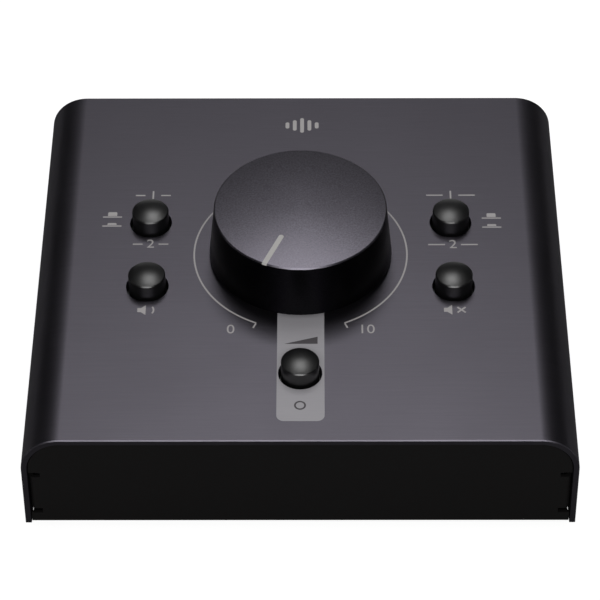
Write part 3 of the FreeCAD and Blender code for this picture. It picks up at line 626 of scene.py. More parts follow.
def turned_anodised_aluminium(name, colour, anisotropic, smooth, rough):
    """Aluminium turned, blasted and dyed black: faint rings and a soft fan of light from the middle."""
    material, tree, shader, coordinates = start_material(name)
    # The knob's own axis: the panel's slope is turned away, and the knob's centre goes to the origin.
    centre = Vector(on_panel((0.0, 0.0, 0.0), KNOB_CENTRE))
    shift = Matrix.Rotation(-PANEL_SLOPE, 3, "X") @ -centre
    turn = (-PANEL_SLOPE, 0.0, 0.0)
    local = add_node(tree, "ShaderNodeMapping", {"Vector": coordinates, "Location": shift, "Rotation": turn})
    # Lathe lines lie about 0.1 mm apart. They are drawn 0.4 mm apart so that they show.
    # The wave's own rings lie 0.314 apart at scale 1.
    lathe = {
        "Vector": local.outputs["Vector"],
        "Scale": 0.314 / (0.4 * MM),
        "Distortion": 1.5,
        "Detail": 2.0,
        "Detail Scale": 0.3,
    }
    rings = add_node(tree, "ShaderNodeTexWave", lathe, wave_type="RINGS", rings_direction="Z")
    # Blasting leaves dimples of about 0.1 mm. They are drawn 0.42 mm wide so that they show.
    dimples = {"Vector": coordinates, "Scale": 1.0 / (0.42 * MM), "Detail": 3.0}
    blast = add_node(tree, "ShaderNodeTexNoise", dimples).outputs["Fac"]
    grain = add_node(tree, "ShaderNodeMix", {0: 0.88, 2: rings.outputs["Fac"], 3: blast}).outputs[0]
    vary(tree, shader, colour, (blast, 0.5), (grain, smooth, rough), (grain, 0.016))
    along = add_node(tree, "ShaderNodeTangent", direction_type="UV_MAP", uv_map="Along")
    tree.links.new(along.outputs["Tangent"], shader.inputs["Tangent"])
    shader.inputs["Metallic"].default_value = 1.0
    shader.inputs["Anisotropic"].default_value = anisotropic
    shader.inputs["Anisotropic Rotation"].default_value = 0.25
    return material


def other_finishes(case, controls, printing):
    """Finishes that need no function of their own, by material slot or by piece."""
    return {
        # Fine satin powder coat: an even orange peel of about 0.5 mm with a soft low sheen.
        "black_powder_coat": surface_material(
            "black_powder_coat", tuple(case.coat_colour), roughness=0.62, grain=0.5, depth=0.012,
            specular=0.12,
        ),
        # Black oxide on a steel screw: dark, with a thin oily sheen.
        "black_screw": surface_material(
            "black_oxide_steel", linear_rgb("232325"), metallic=1.0, roughness=0.42, grain=0.15, depth=0.004
        ),
        # Moulded rubber: matt, with a fine spark-eroded grain.
        "black_rubber": surface_material(
            "moulded_rubber", linear_rgb("1B1B1B"), roughness=0.8, grain=0.3, depth=0.02, specular=0.3
        ),
        # Enamel wiped into a groove: even and slightly matt.
        "pointer_paint": surface_material(
            "groove_paint", tuple(controls.pointer_colour), roughness=0.55, grain=0.2, depth=0.004,
            specular=0.35,
        ),
        # Moulded ABS from a blasted tool: deep black with a satin highlight.
        "black_abs": surface_material(
            "satin_black_abs", tuple(controls.button_colour), roughness=0.33, grain=0.12, depth=0.0015,
            specular=0.8,
        ),
        # Moulded nylon: black and duller than ABS.
        "black_nylon": surface_material(
            "moulded_nylon", linear_rgb("1A1A1B"), roughness=0.5, grain=0.25, depth=0.006, specular=0.4
        ),
        # Moulded acetal: waxy off-white.
        "white_acetal": surface_material(
            "moulded_acetal", linear_rgb("DEDBD2"), roughness=0.35, grain=0.3, depth=0.003, tint=0.03
        ),
        # Zinc plate over turned or pressed steel: pale, slightly blue, with cloudy patches.
        "zinc_plate": surface_material(
            "zinc_plated_steel", linear_rgb("C3C5C9"), metallic=1.0, roughness=0.32, grain=0.3, depth=0.003
        ),
        # Nickel plate over turned brass: a warm grey shine with lathe lines across the axis.
        "nickel_brass": surface_material(
            "nickel_plated_brass", linear_rgb("C9C3B8"), metallic=1.0, roughness=0.2, grain=0.18, depth=0.002,
            stretch=(0.15, 1, 0.15),
        ),
        # Punched phenolic paper board: brown with fibres.
        "brown_laminate": surface_material(
            "phenolic_laminate", linear_rgb("7A5232"), roughness=0.45, grain=0.6, depth=0.01,
            stretch=(0.2, 1, 1), tint=0.15,
        ),
        # Solder resist over glass cloth: glossy green with the weave just showing.
        "green_board": surface_material(
            "solder_resist_board", linear_rgb("1E5C3A"), roughness=0.28, grain=0.5, depth=0.004, coat=0.3
        ),
        # Drawn spring steel wire: bright, with a fine grain.
        "spring_steel": surface_material(
            "drawn_spring_steel", linear_rgb("B4B5B8"), metallic=1.0, roughness=0.28, grain=0.1, depth=0.002
        ),
        # Ribbed insulation of a flat cable: its cores lie 1.27 mm apart.
        "grey_cable": surface_material(
            "ribbed_cable_insulation", linear_rgb("9C9C9F"), roughness=0.5, grain=1.27, depth=0.12,
            stretch=(1, 0.01, 0.01),
        ),
        # Glossy moulded insulators of the phono sockets: even, with a clear highlight.
        "phono_collar": surface_material(
            "red_moulded_insulator", linear_rgb("A32222"), roughness=0.3, grain=0.3, depth=0.003
        ),
        "white_collar": surface_material(
            "white_moulded_insulator", linear_rgb("DAD8D2"), roughness=0.3, grain=0.3, depth=0.003
        ),
        # Screen ink: matt, a little uneven where it lies over the brushed metal.
        "ink": surface_material(
            "grey_screen_ink", tuple(printing.ink_colour), roughness=0.6, grain=0.3, depth=0.004,
            stretch=(0.1, 1, 0.1), specular=0.25,
        ),
        "strip": surface_material(
            "printed_strip_ink", tuple(printing.strip_colour), roughness=0.55, grain=0.28, depth=0.004,
            stretch=(0.03, 1, 0.03), specular=0.3,
        ),
        "dark_ink": surface_material(
            "dark_screen_ink", linear_rgb("4A474A"), roughness=0.6, grain=0.3, depth=0.004, specular=0.25
        ),
    }


FINISHES = {}


def all_finishes(scene):
    """Every material by name, made once."""
    if not FINISHES:
        case, controls = scene.controller_case, scene.controller_controls
        FINISHES.update(other_finishes(case, controls, scene.controller_print))
        FINISHES["anodised_aluminium"] = brushed_anodised_aluminium(tuple(case.cover_colour))
        FINISHES["black_anodised_aluminium"] = turned_anodised_aluminium(
            "turned_anodised_aluminium", tuple(controls.knob_colour), 0.1, 0.32, 0.40
        )
        # The knob's wall: the top's metal in a darker colour, as painted shade on its upright side.
        FINISHES["knob_wall"] = turned_anodised_aluminium(
            "black_anodised_aluminium", tuple(controls.shaded_wall_colour), 0.3, 0.28, 0.36
        )
    return FINISHES


# Cover and tray


def arch(inset, case, steps=24):
    """Half the cover's section, from the side wall's top to the middle, as (x, depth), drawn in by an
    inset.

    Round the bend at angle t it is (middle x + radius cos t, middle depth - radius sin t).
    """
    half, radius = COVER_WIDTH / 2 - inset, case.bend - inset
    turn = np.linspace(0, math.pi / 2, steps + 1)
    x = half - radius + radius * np.cos(turn)
    depth = inset + radius - radius * np.sin(turn)
    return np.stack((x, depth), axis=1)


def cover_mesh(case):
    """The bent sheet: its section, carried from front to rear.

    At distance y from the front the section's depth d below the panel is at height front height + y
    tan(slope) - d / cos(slope). The side walls run on down to the foot, whose front and rear corners are
    arcs. The outer skin is drawn in by the chamfer at both ends, and the inner skin by the sheet.
    """
    edge, foot = case.edge, case.foot_round
    depth_of_case = Y_REAR - Y_FRONT
    ends = foot * (1 - np.cos(np.linspace(0, 1, 6) * math.pi / 2))
    stations = np.concatenate(([0, edge], ends[ends > edge * 1.2], [GRID_LINE_END * MM]))
    stations = np.unique(np.concatenate((stations, depth_of_case - stations, np.array(GRID_LINES_Y) * MM)))
    outer_inset = np.where((stations < edge / 2) | (stations > depth_of_case - edge / 2), edge, 0.0)
    skins = [(stations, outer_inset), (stations[::-1], np.full(len(stations), case.sheet))]
    rows = []
    for distances, insets in skins:
        for distance, inset in zip(distances, insets):
            half_section = arch(inset, case)
            lift = PANEL_FRONT_Z + distance * math.tan(PANEL_SLOPE)
            x, z = half_section[:, 0], lift - half_section[:, 1] / math.cos(PANEL_SLOPE)
            near = min(distance, depth_of_case - distance)
            low = COVER_LOW[2] + foot - math.sqrt(max(0.0, foot**2 - max(0.0, foot - near) ** 2))
            wall = [(x[0], low), (x[0], COVER_LOW[2] + GRID_LINE_FOOT * MM)]
            right = np.concatenate((wall, np.stack((x, z), axis=1), [(GRID_LINE_X * MM, z[-1])]))
            section = np.concatenate((right, right[::-1] * (-1, 1)))
            y = np.full((len(section), 1), Y_FRONT + distance)
            rows.append(np.concatenate((section[:, :1], y, section[:, 1:]), axis=1))
    points = np.array(rows)
    count, width = points.shape[:2]
    quads = grid_quads(count, width, wrap_rows=True)
    i = np.arange(len(stations) - 1)
    for column in (0, width - 1):
        inner = count - 1 - i
        feet = np.stack((i * width, (i + 1) * width, (inner - 1) * width, inner * width), axis=1) + column
        quads = np.concatenate((quads, feet))
    return mesh_from(points, quads)


def cover_normals(mesh, case):
    """Shading of the bent sheet: flat faces take their own direction, and bends point away from their axes.

    A face belongs to a bend if, seen along the panel, its middle lies one bend radius from the bend's axis,
    on the outer or the inner skin, and it faces along that radius. Round hole walls keep their smooth
    directions.
    """
    normals, flat, middle, points, owner = shading_arrays(mesh, 25)
    c, s = math.cos(PANEL_SLOPE), math.sin(PANEL_SLOPE)
    up = np.array((0.0, -s, c))

    def from_axis(spots):
        depth = (spots - (0, Y_FRONT, PANEL_FRONT_Z)) @ up + case.bend
        side = np.sign(spots[:, 0])
        x = spots[:, 0] - side * (COVER_WIDTH / 2 - case.bend)
        away = np.stack((x, depth), axis=1)
        distance = np.linalg.norm(away, axis=1, keepdims=True)
        away = away / np.maximum(distance, 1e-9)
        direction = np.stack((away[:, 0], -s * away[:, 1], c * away[:, 1]), axis=1)
        return direction, distance[:, 0], (x * side > 0) & (depth > 0)

    away, distance, inside = from_axis(middle)
    facing = np.sum(away * flat, axis=1)
    near = np.minimum(np.abs(distance - case.bend), np.abs(distance - case.bend + case.sheet)) < 0.1 * MM
    bent = inside & near & (np.abs(facing) > 0.985)
    plain_directions = np.stack((up, (1, 0, 0), (0, 1, 0), (0, 0, 1)), axis=1)
    level = np.max(np.abs(flat @ plain_directions), axis=1) > 0.9999
    normals[level[owner]] = flat[owner][level[owner]]
    round_corner = bent[owner] & ~level[owner]
    normals[round_corner] = from_axis(points[round_corner])[0] * np.sign(facing[owner][round_corner])[:, None]
    mesh.normals_split_custom_set(normals.tolist())


def hole_cutter(radius, centre, flare):
    """Closed drill for a hole in the panel, wider by the flare at the panel's face for a small chamfer."""
    profile = (
        (0, -DRILL_DEPTH), (radius, -DRILL_DEPTH), (radius, -flare), (radius + flare, 0),
        (radius + DRILL_MOUTH, DRILL_REACH), (0, DRILL_REACH),
    )
    return turned_mesh(profile, lambda points: on_panel(points, centre), steps=72)


def screw_spots():
    """The four side screws: side, and their y and z in metres from the CAD screws' own boxes."""
    low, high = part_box("cover_screws")
    for side in (-1, 1):
        for y in (low[1] + SCREW_HEAD_R * MM, high[1] - SCREW_HEAD_R * MM):
            yield side, y, (low[2] + high[2]) / 2


class CONTROLLER_OT_cover(bpy.types.Operator):
    """Builds the bent and brushed cover with its holes"""

    bl_idname = "controller.cover"
    bl_label = "Cover"

    def execute(self, context):
        case, finishes = context.scene.controller_case, all_finishes(context.scene)
        cutters = [hole_cutter(BUTTON_HOLE_R, centre, BUTTON_HOLE_FLARE) for centre in BUTTON_PLACES.values()]
        cutters.append(hole_cutter(POT_HOLE_R, KNOB_CENTRE, POT_HOLE_FLARE))
        hole, mouth = SCREW_SHANK_R + SCREW_CLEARANCE, SCREW_HEAD_R + SCREW_CLEARANCE
        countersink = (
            (0, -SCREW_HOLE_DEPTH), (hole, -SCREW_HOLE_DEPTH), (hole, -SCREW_CONE - 0.1), (mouth, -0.1),
            (mouth, DRILL_REACH), (0, DRILL_REACH),
        )
        for side, y, z in screw_spots():
            cutters.append(turned_mesh(countersink, lambda points: beside_case(points, side, y, z), steps=48))
        put(
            "brushed_cover", cover_mesh(case), [finishes["anodised_aluminium"]], INSIDE_CASE,
            replaces=["cover"], cutters=cutters,
            shading=lambda mesh: cover_normals(mesh, case),
        )
        return {"FINISHED"}


class CONTROLLER_OT_tray(bpy.types.Operator):
    """Finishes the folded and powder-coated tray"""

    bl_idname = "controller.tray"
    bl_label = "Tray"

    def execute(self, context):
        finishes = all_finishes(context.scene)
        put(
            "coated_tray", tidied("chassis_tray"), [finishes["black_powder_coat"]], INSIDE_CASE, sharp=30,
            replaces=["chassis_tray"],
        )
        return {"FINISHED"}


# Knob and buttons


def knob_profile(controls):
    """(r, z) of the knob's domed top, chamfer and wall, then of its hollow and hub, in millimetres."""
    base, top, height = controls.knob_base / MM, controls.knob_top / MM, controls.knob_height / MM
    taper = (base - top) / (height - KNOB_GAP)
    roof, inner = height - KNOB_ROOF, base - KNOB_WALL
    cap = dome(top - KNOB_CHAMFER, height, controls.knob_dome / MM, 24)
    outside = rounded_corners(
        [
            (*cap[-2], 0),
            (top - KNOB_CHAMFER, height, 0),
            (top, height - KNOB_CHAMFER, 0),
            (base - 0.02, KNOB_GAP + 0.25, 0.2),
            (base - 0.3, KNOB_GAP, 0.12),
            (inner, KNOB_GAP, 0.2),
            (inner - taper * (roof - KNOB_GAP), roof, 0.4),
            (KNOB_HUB_R, roof, 0),
            (KNOB_HUB_R, KNOB_HUB_Z, 0),
            (KNOB_HUB_BORE_R, KNOB_HUB_Z, 0),
            (KNOB_HUB_BORE_R, roof, 0),
            (0, roof, 0),
        ],
        4,
    )
    return np.concatenate((cap[:-2], outside))


def knob_normals(mesh, controls):
    """Shading of the knob, and the second material for its wall, a darker copy of the top's metal as painted
    shade.

    The top's faces take the direction of a dome of the shading rise, z = rise (1 - (r / radius)^2). It is
    rounder than the mesh's own dome, so that the light falls off towards the edge more as on the real knob.
    Everything below the chamfer gets the wall's material, whose darker colour is painted shade.
    """
    normals, _, middle, points, owner = shading_arrays(mesh, 30)
    up = np.array((0.0, -math.sin(PANEL_SLOPE), math.cos(PANEL_SLOPE)))
    over = (middle - (0.0, Y_FRONT, PANEL_FRONT_Z)) @ up
    wall = over < controls.knob_height - (KNOB_CHAMFER + 0.01) * MM
    mesh.polygons.foreach_set("material_index", wall.astype(np.int32))
    top = (over > controls.knob_height)[owner]
    out = points[top] - on_panel((0.0, 0.0, 0.0), KNOB_CENTRE)
    out -= (out @ up)[:, None] * up
    tilted = up + out * 2 * controls.knob_shading_rise / (controls.knob_top - KNOB_CHAMFER * MM) ** 2
    normals[top] = tilted / np.linalg.norm(tilted, axis=1, keepdims=True)
    mesh.normals_split_custom_set(normals.tolist())


def pointer_mesh(controls):
    """A thin strip of paint over the knob's dome and chamfer, as wide as its groove and a little proud.

    Across, it is a ring of six points: half width w to each side, from under the metal's face to just over
    it. Along, its inner end is round: at angle t the ring is w sin t wide, at radius start + w (1 - cos t).
    """
    top, height, rise = controls.knob_top / MM, controls.knob_height / MM, controls.knob_dome / MM
    flat, half, proud = top - KNOB_CHAMFER, POINTER_HALF_WIDTH, POINTER_PROUD
    end = np.linspace(0.3, math.pi / 2, 6)
    rounded_end = POINTER_START_R + half * (1 - np.cos(end))
    straight = np.linspace(POINTER_START_R + 0.8, flat, 13)
    radius = np.concatenate((rounded_end, straight, [top + 0.001, top + 0.017]))
    chamfer = [height - KNOB_CHAMFER, height - KNOB_CHAMFER - 0.17]
    skin = np.concatenate((height + rise * (1 - (radius[:-2] / flat) ** 2), chamfer))
    low, shoulder, face = -POINTER_SINK, proud - 0.012, half - 0.05
    ring = ((-half, low), (-half, shoulder), (-face, proud), (face, proud), (half, shoulder), (half, low))
    ring = np.array(ring)
    count = len(radius)
    lean = np.concatenate((np.tile((0.0, 1.0), (count - 3, 1)), POINTER_LEAN))
    wide = np.concatenate((np.sin(end), np.ones(count - 6)))
    r = radius[:, None] + ring[:, 1] * lean[:, :1]
    z = skin[:, None] + ring[:, 1] * lean[:, 1:]
    x = ring[:, 0] * wide[:, None]
    away = np.sqrt(np.maximum(r**2 - x**2, 0))
    c, s = math.cos(controls.start_angle), math.sin(controls.start_angle)
    points = np.stack((x * c - away * s, -x * s - away * c, z), axis=-1)
    ends = [list(range(6)), list(range((count - 1) * 6, count * 6))]
    return mesh_from(on_panel(points, KNOB_CENTRE), grid_quads(count, 6, wrap_columns=True), ends=ends)


class CONTROLLER_OT_knob(bpy.types.Operator):
    """Builds the turned volume knob and its painted pointer"""

    bl_idname = "controller.knob"
    bl_label = "Volume knob"

    def execute(self, context):
        controls, finishes = context.scene.controller_controls, all_finishes(context.scene)
        shell = turned_mesh(knob_profile(controls), lambda points: on_panel(points, KNOB_CENTRE), steps=192)
        put(
            "turned_knob", shell, [finishes["black_anodised_aluminium"], finishes["knob_wall"]], ON_KNOB,
            replaces=["knob_shell"],
            shading=lambda mesh: knob_normals(mesh, controls),
        )
        put(
            "painted_pointer", pointer_mesh(controls), [finishes["pointer_paint"]], ON_KNOB,
            replaces=["knob_pointer"],
        )
        return {"FINISHED"}


def button_profile(controls):
    """(r, z) of a button: domed top, chamfer, straight side, rim under the panel and the plunger's well."""
    radius, proud = controls.button_radius / MM, controls.button_proud / MM
    flat, edge = radius - BUTTON_DOME_INSET, proud - BUTTON_DOME
    cap = dome(flat, edge, BUTTON_DOME, 16)
    outside = rounded_corners(
        [
            (*cap[-2], 0),
            (flat, edge, 0),
            (radius - 0.02, edge - BUTTON_CHAMFER, 0),
            (radius, BUTTON_RIM_TOP, 0),
            (BUTTON_RIM_R, BUTTON_RIM_TOP, 0.2),
            (BUTTON_RIM_R, BUTTON_RIM_UNDER, 0.2),
            (BUTTON_WELL_R, BUTTON_RIM_UNDER, 0.1),
            (BUTTON_WELL_R, BUTTON_WELL_ROOF, 0),
            (0, BUTTON_WELL_ROOF, 0),
        ],
        8,
    )
    return np.concatenate((cap[:-2], outside))


class CONTROLLER_OT_buttons(bpy.types.Operator):
    """Builds the five domed push buttons"""

    bl_idname = "controller.buttons"
    bl_label = "Push buttons"

    def execute(self, context):
        controls, finishes = context.scene.controller_controls, all_finishes(context.scene)
        for name, centre in BUTTON_PLACES.items():
            mesh = turned_mesh(button_profile(controls), lambda points: on_panel(points, centre), steps=96)
            put(
                name + "_cap", mesh, [finishes["black_abs"]], name + "_key", sharp=22,
                replaces=[name + "_button"],
            )
        return {"FINISHED"}


# Printing


def circle(x, y, radius, steps=48):
    """Points round a circle: (x + r cos t, y + r sin t)."""
    turn = np.linspace(0, 2 * math.pi, steps, endpoint=False)
    return np.stack((x + radius * np.cos(turn), y + radius * np.sin(turn)), axis=1)


def band(x, y, inner, outer, start, stop, steps=96):
    """Outline of part of a ring, at (-r sin t, -r cos t): degrees from the front, clockwise from above."""
    turn = np.radians(np.linspace(start, stop, steps))
    away = np.stack((-np.sin(turn), -np.cos(turn)), axis=1)
    return np.concatenate((away * inner, away[::-1] * outer)) + (x, y)


def bar(x0, y0, x1, y1, width):
    """Outline of a straight line of some width between two points."""
    a, b = np.array((x0, y0), float), np.array((x1, y1), float)
    side = np.array((-(b - a)[1], (b - a)[0])) / np.linalg.norm(b - a) * width / 2
    return np.array((a - side, b - side, b + side, a + side))


def rounded_rectangle(x0, y0, x1, y1, radii, steps=8):
    """Outline of a rectangle whose corners, from the lower left anticlockwise, are arcs."""
    middles = ((x0, y0, 1, 1), (x1, y0, -1, 1), (x1, y1, -1, -1), (x0, y1, 1, -1))
    points = []
    for i, ((x, y, sx, sy), radius) in enumerate(zip(middles, radii)):
        turn = np.radians(np.linspace(180, 270, steps) + 90 * i)
        away = np.stack((np.cos(turn) + sx, np.sin(turn) + sy), axis=1)
        points.append(away * radius + (x, y))
    return np.concatenate(points)


def flat_print(loops, printing, lift=0.0):
    """Ink of some thickness inside closed outlines in millimetres. An outline inside another is a hole."""
    curve = bpy.data.curves.new("print", "CURVE")
    curve.dimensions = "2D"
    curve.fill_mode = "BOTH"
    curve.extrude = printing.thickness / MM / 2
    for loop in loops:
        spline = curve.splines.new("POLY")
        spline.points.add(len(loop) - 1)
        flat = np.concatenate((loop, np.zeros((len(loop), 1)), np.ones((len(loop), 1))), axis=1)
        spline.points.foreach_set("co", flat.ravel())
        spline.use_cyclic_u = True
    return lay_flat(curve, printing, (0.0, 0.0), lift)


def flat_text(text, size, printing, centre, lift=0.0):
    """Plain figures as ink of some thickness, centred on a point of the panel."""
    curve = bpy.data.curves.new("figures", "FONT")
    curve.body = text
    curve.size = size
    curve.align_x = "CENTER"
    curve.align_y = "CENTER"
    curve.extrude = printing.thickness / MM / 2
    return lay_flat(curve, printing, centre, lift)


def lay_flat(curve, printing, centre, lift):
    """Makes a flat curve a mesh, then puts that mesh on the panel's face."""
    flat = bpy.data.objects.new("flat", curve)
    bpy.context.scene.collection.objects.link(flat)
    bpy.context.view_layer.update()
    depsgraph = bpy.context.evaluated_depsgraph_get()
    mesh = bpy.data.meshes.new_from_object(flat.evaluated_get(depsgraph), depsgraph=depsgraph)
    bpy.data.objects.remove(flat)
    bpy.data.curves.remove(curve)
    points = np.empty(len(mesh.vertices) * 3, dtype=np.float64)
    mesh.vertices.foreach_get("co", points)
    points = points.reshape(-1, 3)
    points[:, 2] += printing.thickness / MM * 0.5 + lift
    mesh.vertices.foreach_set("co", on_panel(points, centre).ravel())
    mesh.update()
    return mesh


def push_symbol(x, y, pressed):
    """A plain side view of a push button: a line with a cap that stands high when out and low when in."""
    line, half_line, half_cap, rise = 0.42, 2.65, 1.25, 0.75 if pressed else 1.5
    return [
        [bar(x - half_line, y, x + half_line, y, line)],
        [rounded_rectangle(x - half_cap, y + line, x + half_cap, y + line + rise, (0, 0, 0.3, 0.3))],
    ]


def speaker_symbol(x):
    """A plain loudspeaker: a small box and a cone."""
    outline = ((-1.2, -0.55), (-0.5, -0.55), (0.45, -1.35), (0.45, 1.35), (-0.5, 0.55), (-1.2, 0.55))
    return np.array(outline) * SPEAKER_SCALE + (x, SYMBOL_Y)


def cross_symbol(x):
    """A plain cross: one whole line, and another in two halves that stop short of it."""
    lines = ((0.0, -1.0, 2.2, 1.0), (0.0, 1.0, 0.9, 0.18), (1.3, -0.18, 2.2, -1.0))
    return [[bar(x + x0, SYMBOL_Y + y0, x + x1, SYMBOL_Y + y1, 0.5)] for x0, y0, x1, y1 in lines]


def dial_outlines(printing):
    """The dial's arc with a short tick outwards at each end."""
    radius, line = printing.arc_radius / MM, printing.line / MM
    x, y = KNOB_CENTRE
    groups = [[band(x, y, radius - line / 2, radius + line / 2, DIAL_END_ANGLE, 360 - DIAL_END_ANGLE, 200)]]
    for side in (-1, 1):
        way = math.radians(DIAL_END_ANGLE * side)
        near, far = radius + line / 2, radius + DIAL_TICK
        ends = [place for r in (near, far) for place in (x - math.sin(way) * r, y - math.cos(way) * r)]
        groups.append([bar(*ends, line)])
    return groups


def symbol_outlines():
    """The plain symbols beside the buttons, and a mark of five level bars."""
    groups = []
    for x, y in PUSH_SYMBOLS:
        groups += push_symbol(x, y + SYMBOL_OUT_Y, False)
        groups += push_symbol(x, y + SYMBOL_IN_Y, True)
    # Dim: a small loudspeaker with one wave. Mute: the same with a cross.
    groups.append([speaker_symbol(DIM_SYMBOL_X)])
    groups.append([band(DIM_SYMBOL_X + 0.6, SYMBOL_Y, 1.9, 2.35, 235, 305, 24)])
    groups.append([speaker_symbol(MUTE_SYMBOL_X)])
    groups += cross_symbol(MUTE_SYMBOL_X + 2.0)
    for _, (x, y), reach in SELECTOR_NUMBERS:
        groups += [[bar(x + side * SELECTOR_LINE_START, y, x + side * reach, y, 0.45)] for side in (-1, 1)]
    x, y = LEVEL_BARS_CENTRE
    for i, height in enumerate(LEVEL_BAR_HEIGHTS):
        middle = x + (i - 2) * LEVEL_BAR_PITCH
        left, right = middle - LEVEL_BAR_HALF_WIDTH, middle + LEVEL_BAR_HALF_WIDTH
        bottom, top = y - height / 2, y + height / 2
        groups.append([rounded_rectangle(left, bottom, right, top, (LEVEL_BAR_ROUND,) * 4)])
    return groups


class CONTROLLER_OT_printing(bpy.types.Operator):
    """Lays the dial, the strip and plain symbols on the panel as thin ink"""

    bl_idname = "controller.printing"
    bl_label = "Printing"

    def execute(self, context):
        printing, finishes = context.scene.controller_print, all_finishes(context.scene)
        meshes = [flat_print(group, printing) for group in dial_outlines(printing) + symbol_outlines()]
        for text, centre in [number[:2] for number in SELECTOR_NUMBERS] + list(DIAL_NUMBERS):
            meshes.append(flat_text(text, FIGURE_SIZE, printing, centre))
        put("dial_and_symbols", joined(meshes), [finishes["ink"]], INSIDE_CASE)
        strip = rounded_rectangle(*STRIP_CORNERS, STRIP_ROUNDS)
        strip = flat_print([strip, circle(*BUTTON_PLACES["mono"], STRIP_HOLE_R, 72)], printing)
        put("mono_strip", strip, [finishes["strip"]], INSIDE_CASE)
        # On the strip: a rising wedge for the volume, and one ring for mono.
        over = printing.thickness / MM
        ring = [circle(0.0, MONO_RING_Y, radius) for radius in MONO_RING_RADII]
        marks = [flat_print([np.array(VOLUME_WEDGE)], printing, over), flat_print(ring, printing, over)]
        put("strip_marks", joined(marks), [finishes["dark_ink"]], INSIDE_CASE)
        return {"FINISHED"}


# Sockets, screws and feet


def jack_meshes(x):
    """A socket's moulded body, and its nose with the thread's ridges and the open bore."""
    end, bottom = JACK_NOSE_REACH, JACK_NOSE_REACH - JACK_BORE_DEPTH
    crest, root = JACK_NOSE_R, JACK_NOSE_R - JACK_THREAD_DEPTH
    thread = [(root if i % 2 else crest, JACK_THREAD_START + JACK_THREAD_STEP * i) for i in range(10)]
    nose = [
        (0, bottom),
        (JACK_BORE_R, bottom),
        (JACK_BORE_R, end - 0.35),
        (JACK_BORE_R + 0.35, end),
        (JACK_NOSE_R - 0.3, end),
        *reversed(thread),
        (JACK_NOSE_R, 0),
        (JACK_NOSE_R, -TRAY_SHEET - 0.5),
        (JACK_NECK_R, -TRAY_SHEET - 0.5),
        (JACK_NECK_R, bottom - 0.4),
        (0, bottom - 0.4),
    ]
    half, tall = JACK_BODY_HALF_WIDTH, JACK_BODY_HALF_HEIGHT
    section = ((-half, -tall), (half, -tall), (half, tall), (-half, tall))
    block = np.array([[(*corner, z) for corner in section] for z in (-JACK_BODY_DEPTH, -TRAY_SHEET)])
    body = mesh_from(
        behind_wall(block, x), grid_quads(2, 4, wrap_columns=True), ends=[[0, 1, 2, 3], [4, 5, 6, 7]]
    )
    radius, low = JACK_BODY_HOLE_R, bottom - 0.6
    drill = ((0, low), (radius, low), (radius, DRILL_REACH), (0, DRILL_REACH))
    body = drilled(body, turned_mesh(drill, lambda points: behind_wall(points, x), steps=48))
    return [body, turned_mesh(nose, lambda points: behind_wall(points, x), steps=64)]


def nut_mesh(x):
    """A hexagonal nut whose corners a cone cuts back: radius at angle t is the flat's distance / cos(t)."""
    turn = np.linspace(0, 2 * math.pi, 97)
    flat = NUT_HALF_FLAT / np.cos((turn + math.pi / 6) % (math.pi / 3) - math.pi / 6)
    drop = np.maximum(0.02, (flat - NUT_CONE_R) * math.tan(math.radians(30)) + 0.02)
    rows = [
        (NUT_BORE_R, 0),
        (flat - 0.05, 0),
        (flat, 0.05),
        (flat, NUT_HEIGHT - drop),
        (NUT_CONE_R - 0.15, NUT_HEIGHT),
        (NUT_BORE_R + 0.35, NUT_HEIGHT),
        (NUT_BORE_R, NUT_HEIGHT - 0.3),
        (NUT_BORE_R, 0),
    ]
    c, s = np.cos(turn), np.sin(turn)
    points = np.array([np.stack((r * c, r * s, z + 0 * turn), axis=-1) for r, z in rows])
    return mesh_from(behind_wall(points, x), grid_quads(len(rows), len(turn)))


class CONTROLLER_OT_sockets(bpy.types.Operator):
    """Builds the jack and phono sockets of the rear wall"""

    bl_idname = "controller.sockets"
    bl_label = "Rear sockets"

    def execute(self, context):
        finishes = all_finishes(context.scene)
        black, plated = [finishes["black_nylon"]], [finishes["nickel_brass"]]
        for node, places in JACK_NODES.items():
            mesh = joined([mesh for x in places for mesh in jack_meshes(x)])
            put(node + "_moulded", mesh, black, INSIDE_CASE, replaces=[node])
        nuts = [nut_mesh(x) for places in JACK_NODES.values() for x in places]
        put(
            "jack_nuts_plated", joined(nuts), plated, INSIDE_CASE, replaces=["jack_nuts"]
        )
        bore, radius, reach = PHONO_SHELL_BORE_R, PHONO_SHELL_R, PHONO_REACH
        shell = rounded_corners(
            [
                (bore, COLLAR_HEIGHT, 0),
                (radius, COLLAR_HEIGHT, 0),
                (radius, reach - 0.25, 0.2),
                (radius - 0.2, reach, 0.1),
                (bore + 0.1, reach - 0.05, 0.05),
                (bore, reach - 0.3, 0.05),
                (bore, COLLAR_HEIGHT, 0),
            ]
        )
        collar = rounded_corners(
            [
                (COLLAR_BORE_R, 0, 0),
                (COLLAR_R, 0, 0),
                (COLLAR_R, COLLAR_HEIGHT, 0.25),
                (COLLAR_BORE_R, COLLAR_HEIGHT, 0),
                (COLLAR_BORE_R, 0, 0),
            ]
        )
        shells = [turned_mesh(shell, lambda points: behind_wall(points, x), steps=72) for x in PHONO_XS]
        put(
            "phono_shells_plated", joined(shells), plated, INSIDE_CASE,
            replaces=["rca_shells"],
        )
        colours = (finishes["phono_collar"], finishes["white_collar"])
        for x, finish, name in zip(PHONO_XS, colours, ("red_phono_collar", "white_phono_collar")):
            mesh = turned_mesh(collar, lambda points: behind_wall(points, x), steps=72)
            put(name, mesh, [finish], INSIDE_CASE, replaces=["rca_collars"])
        return {"FINISHED"}


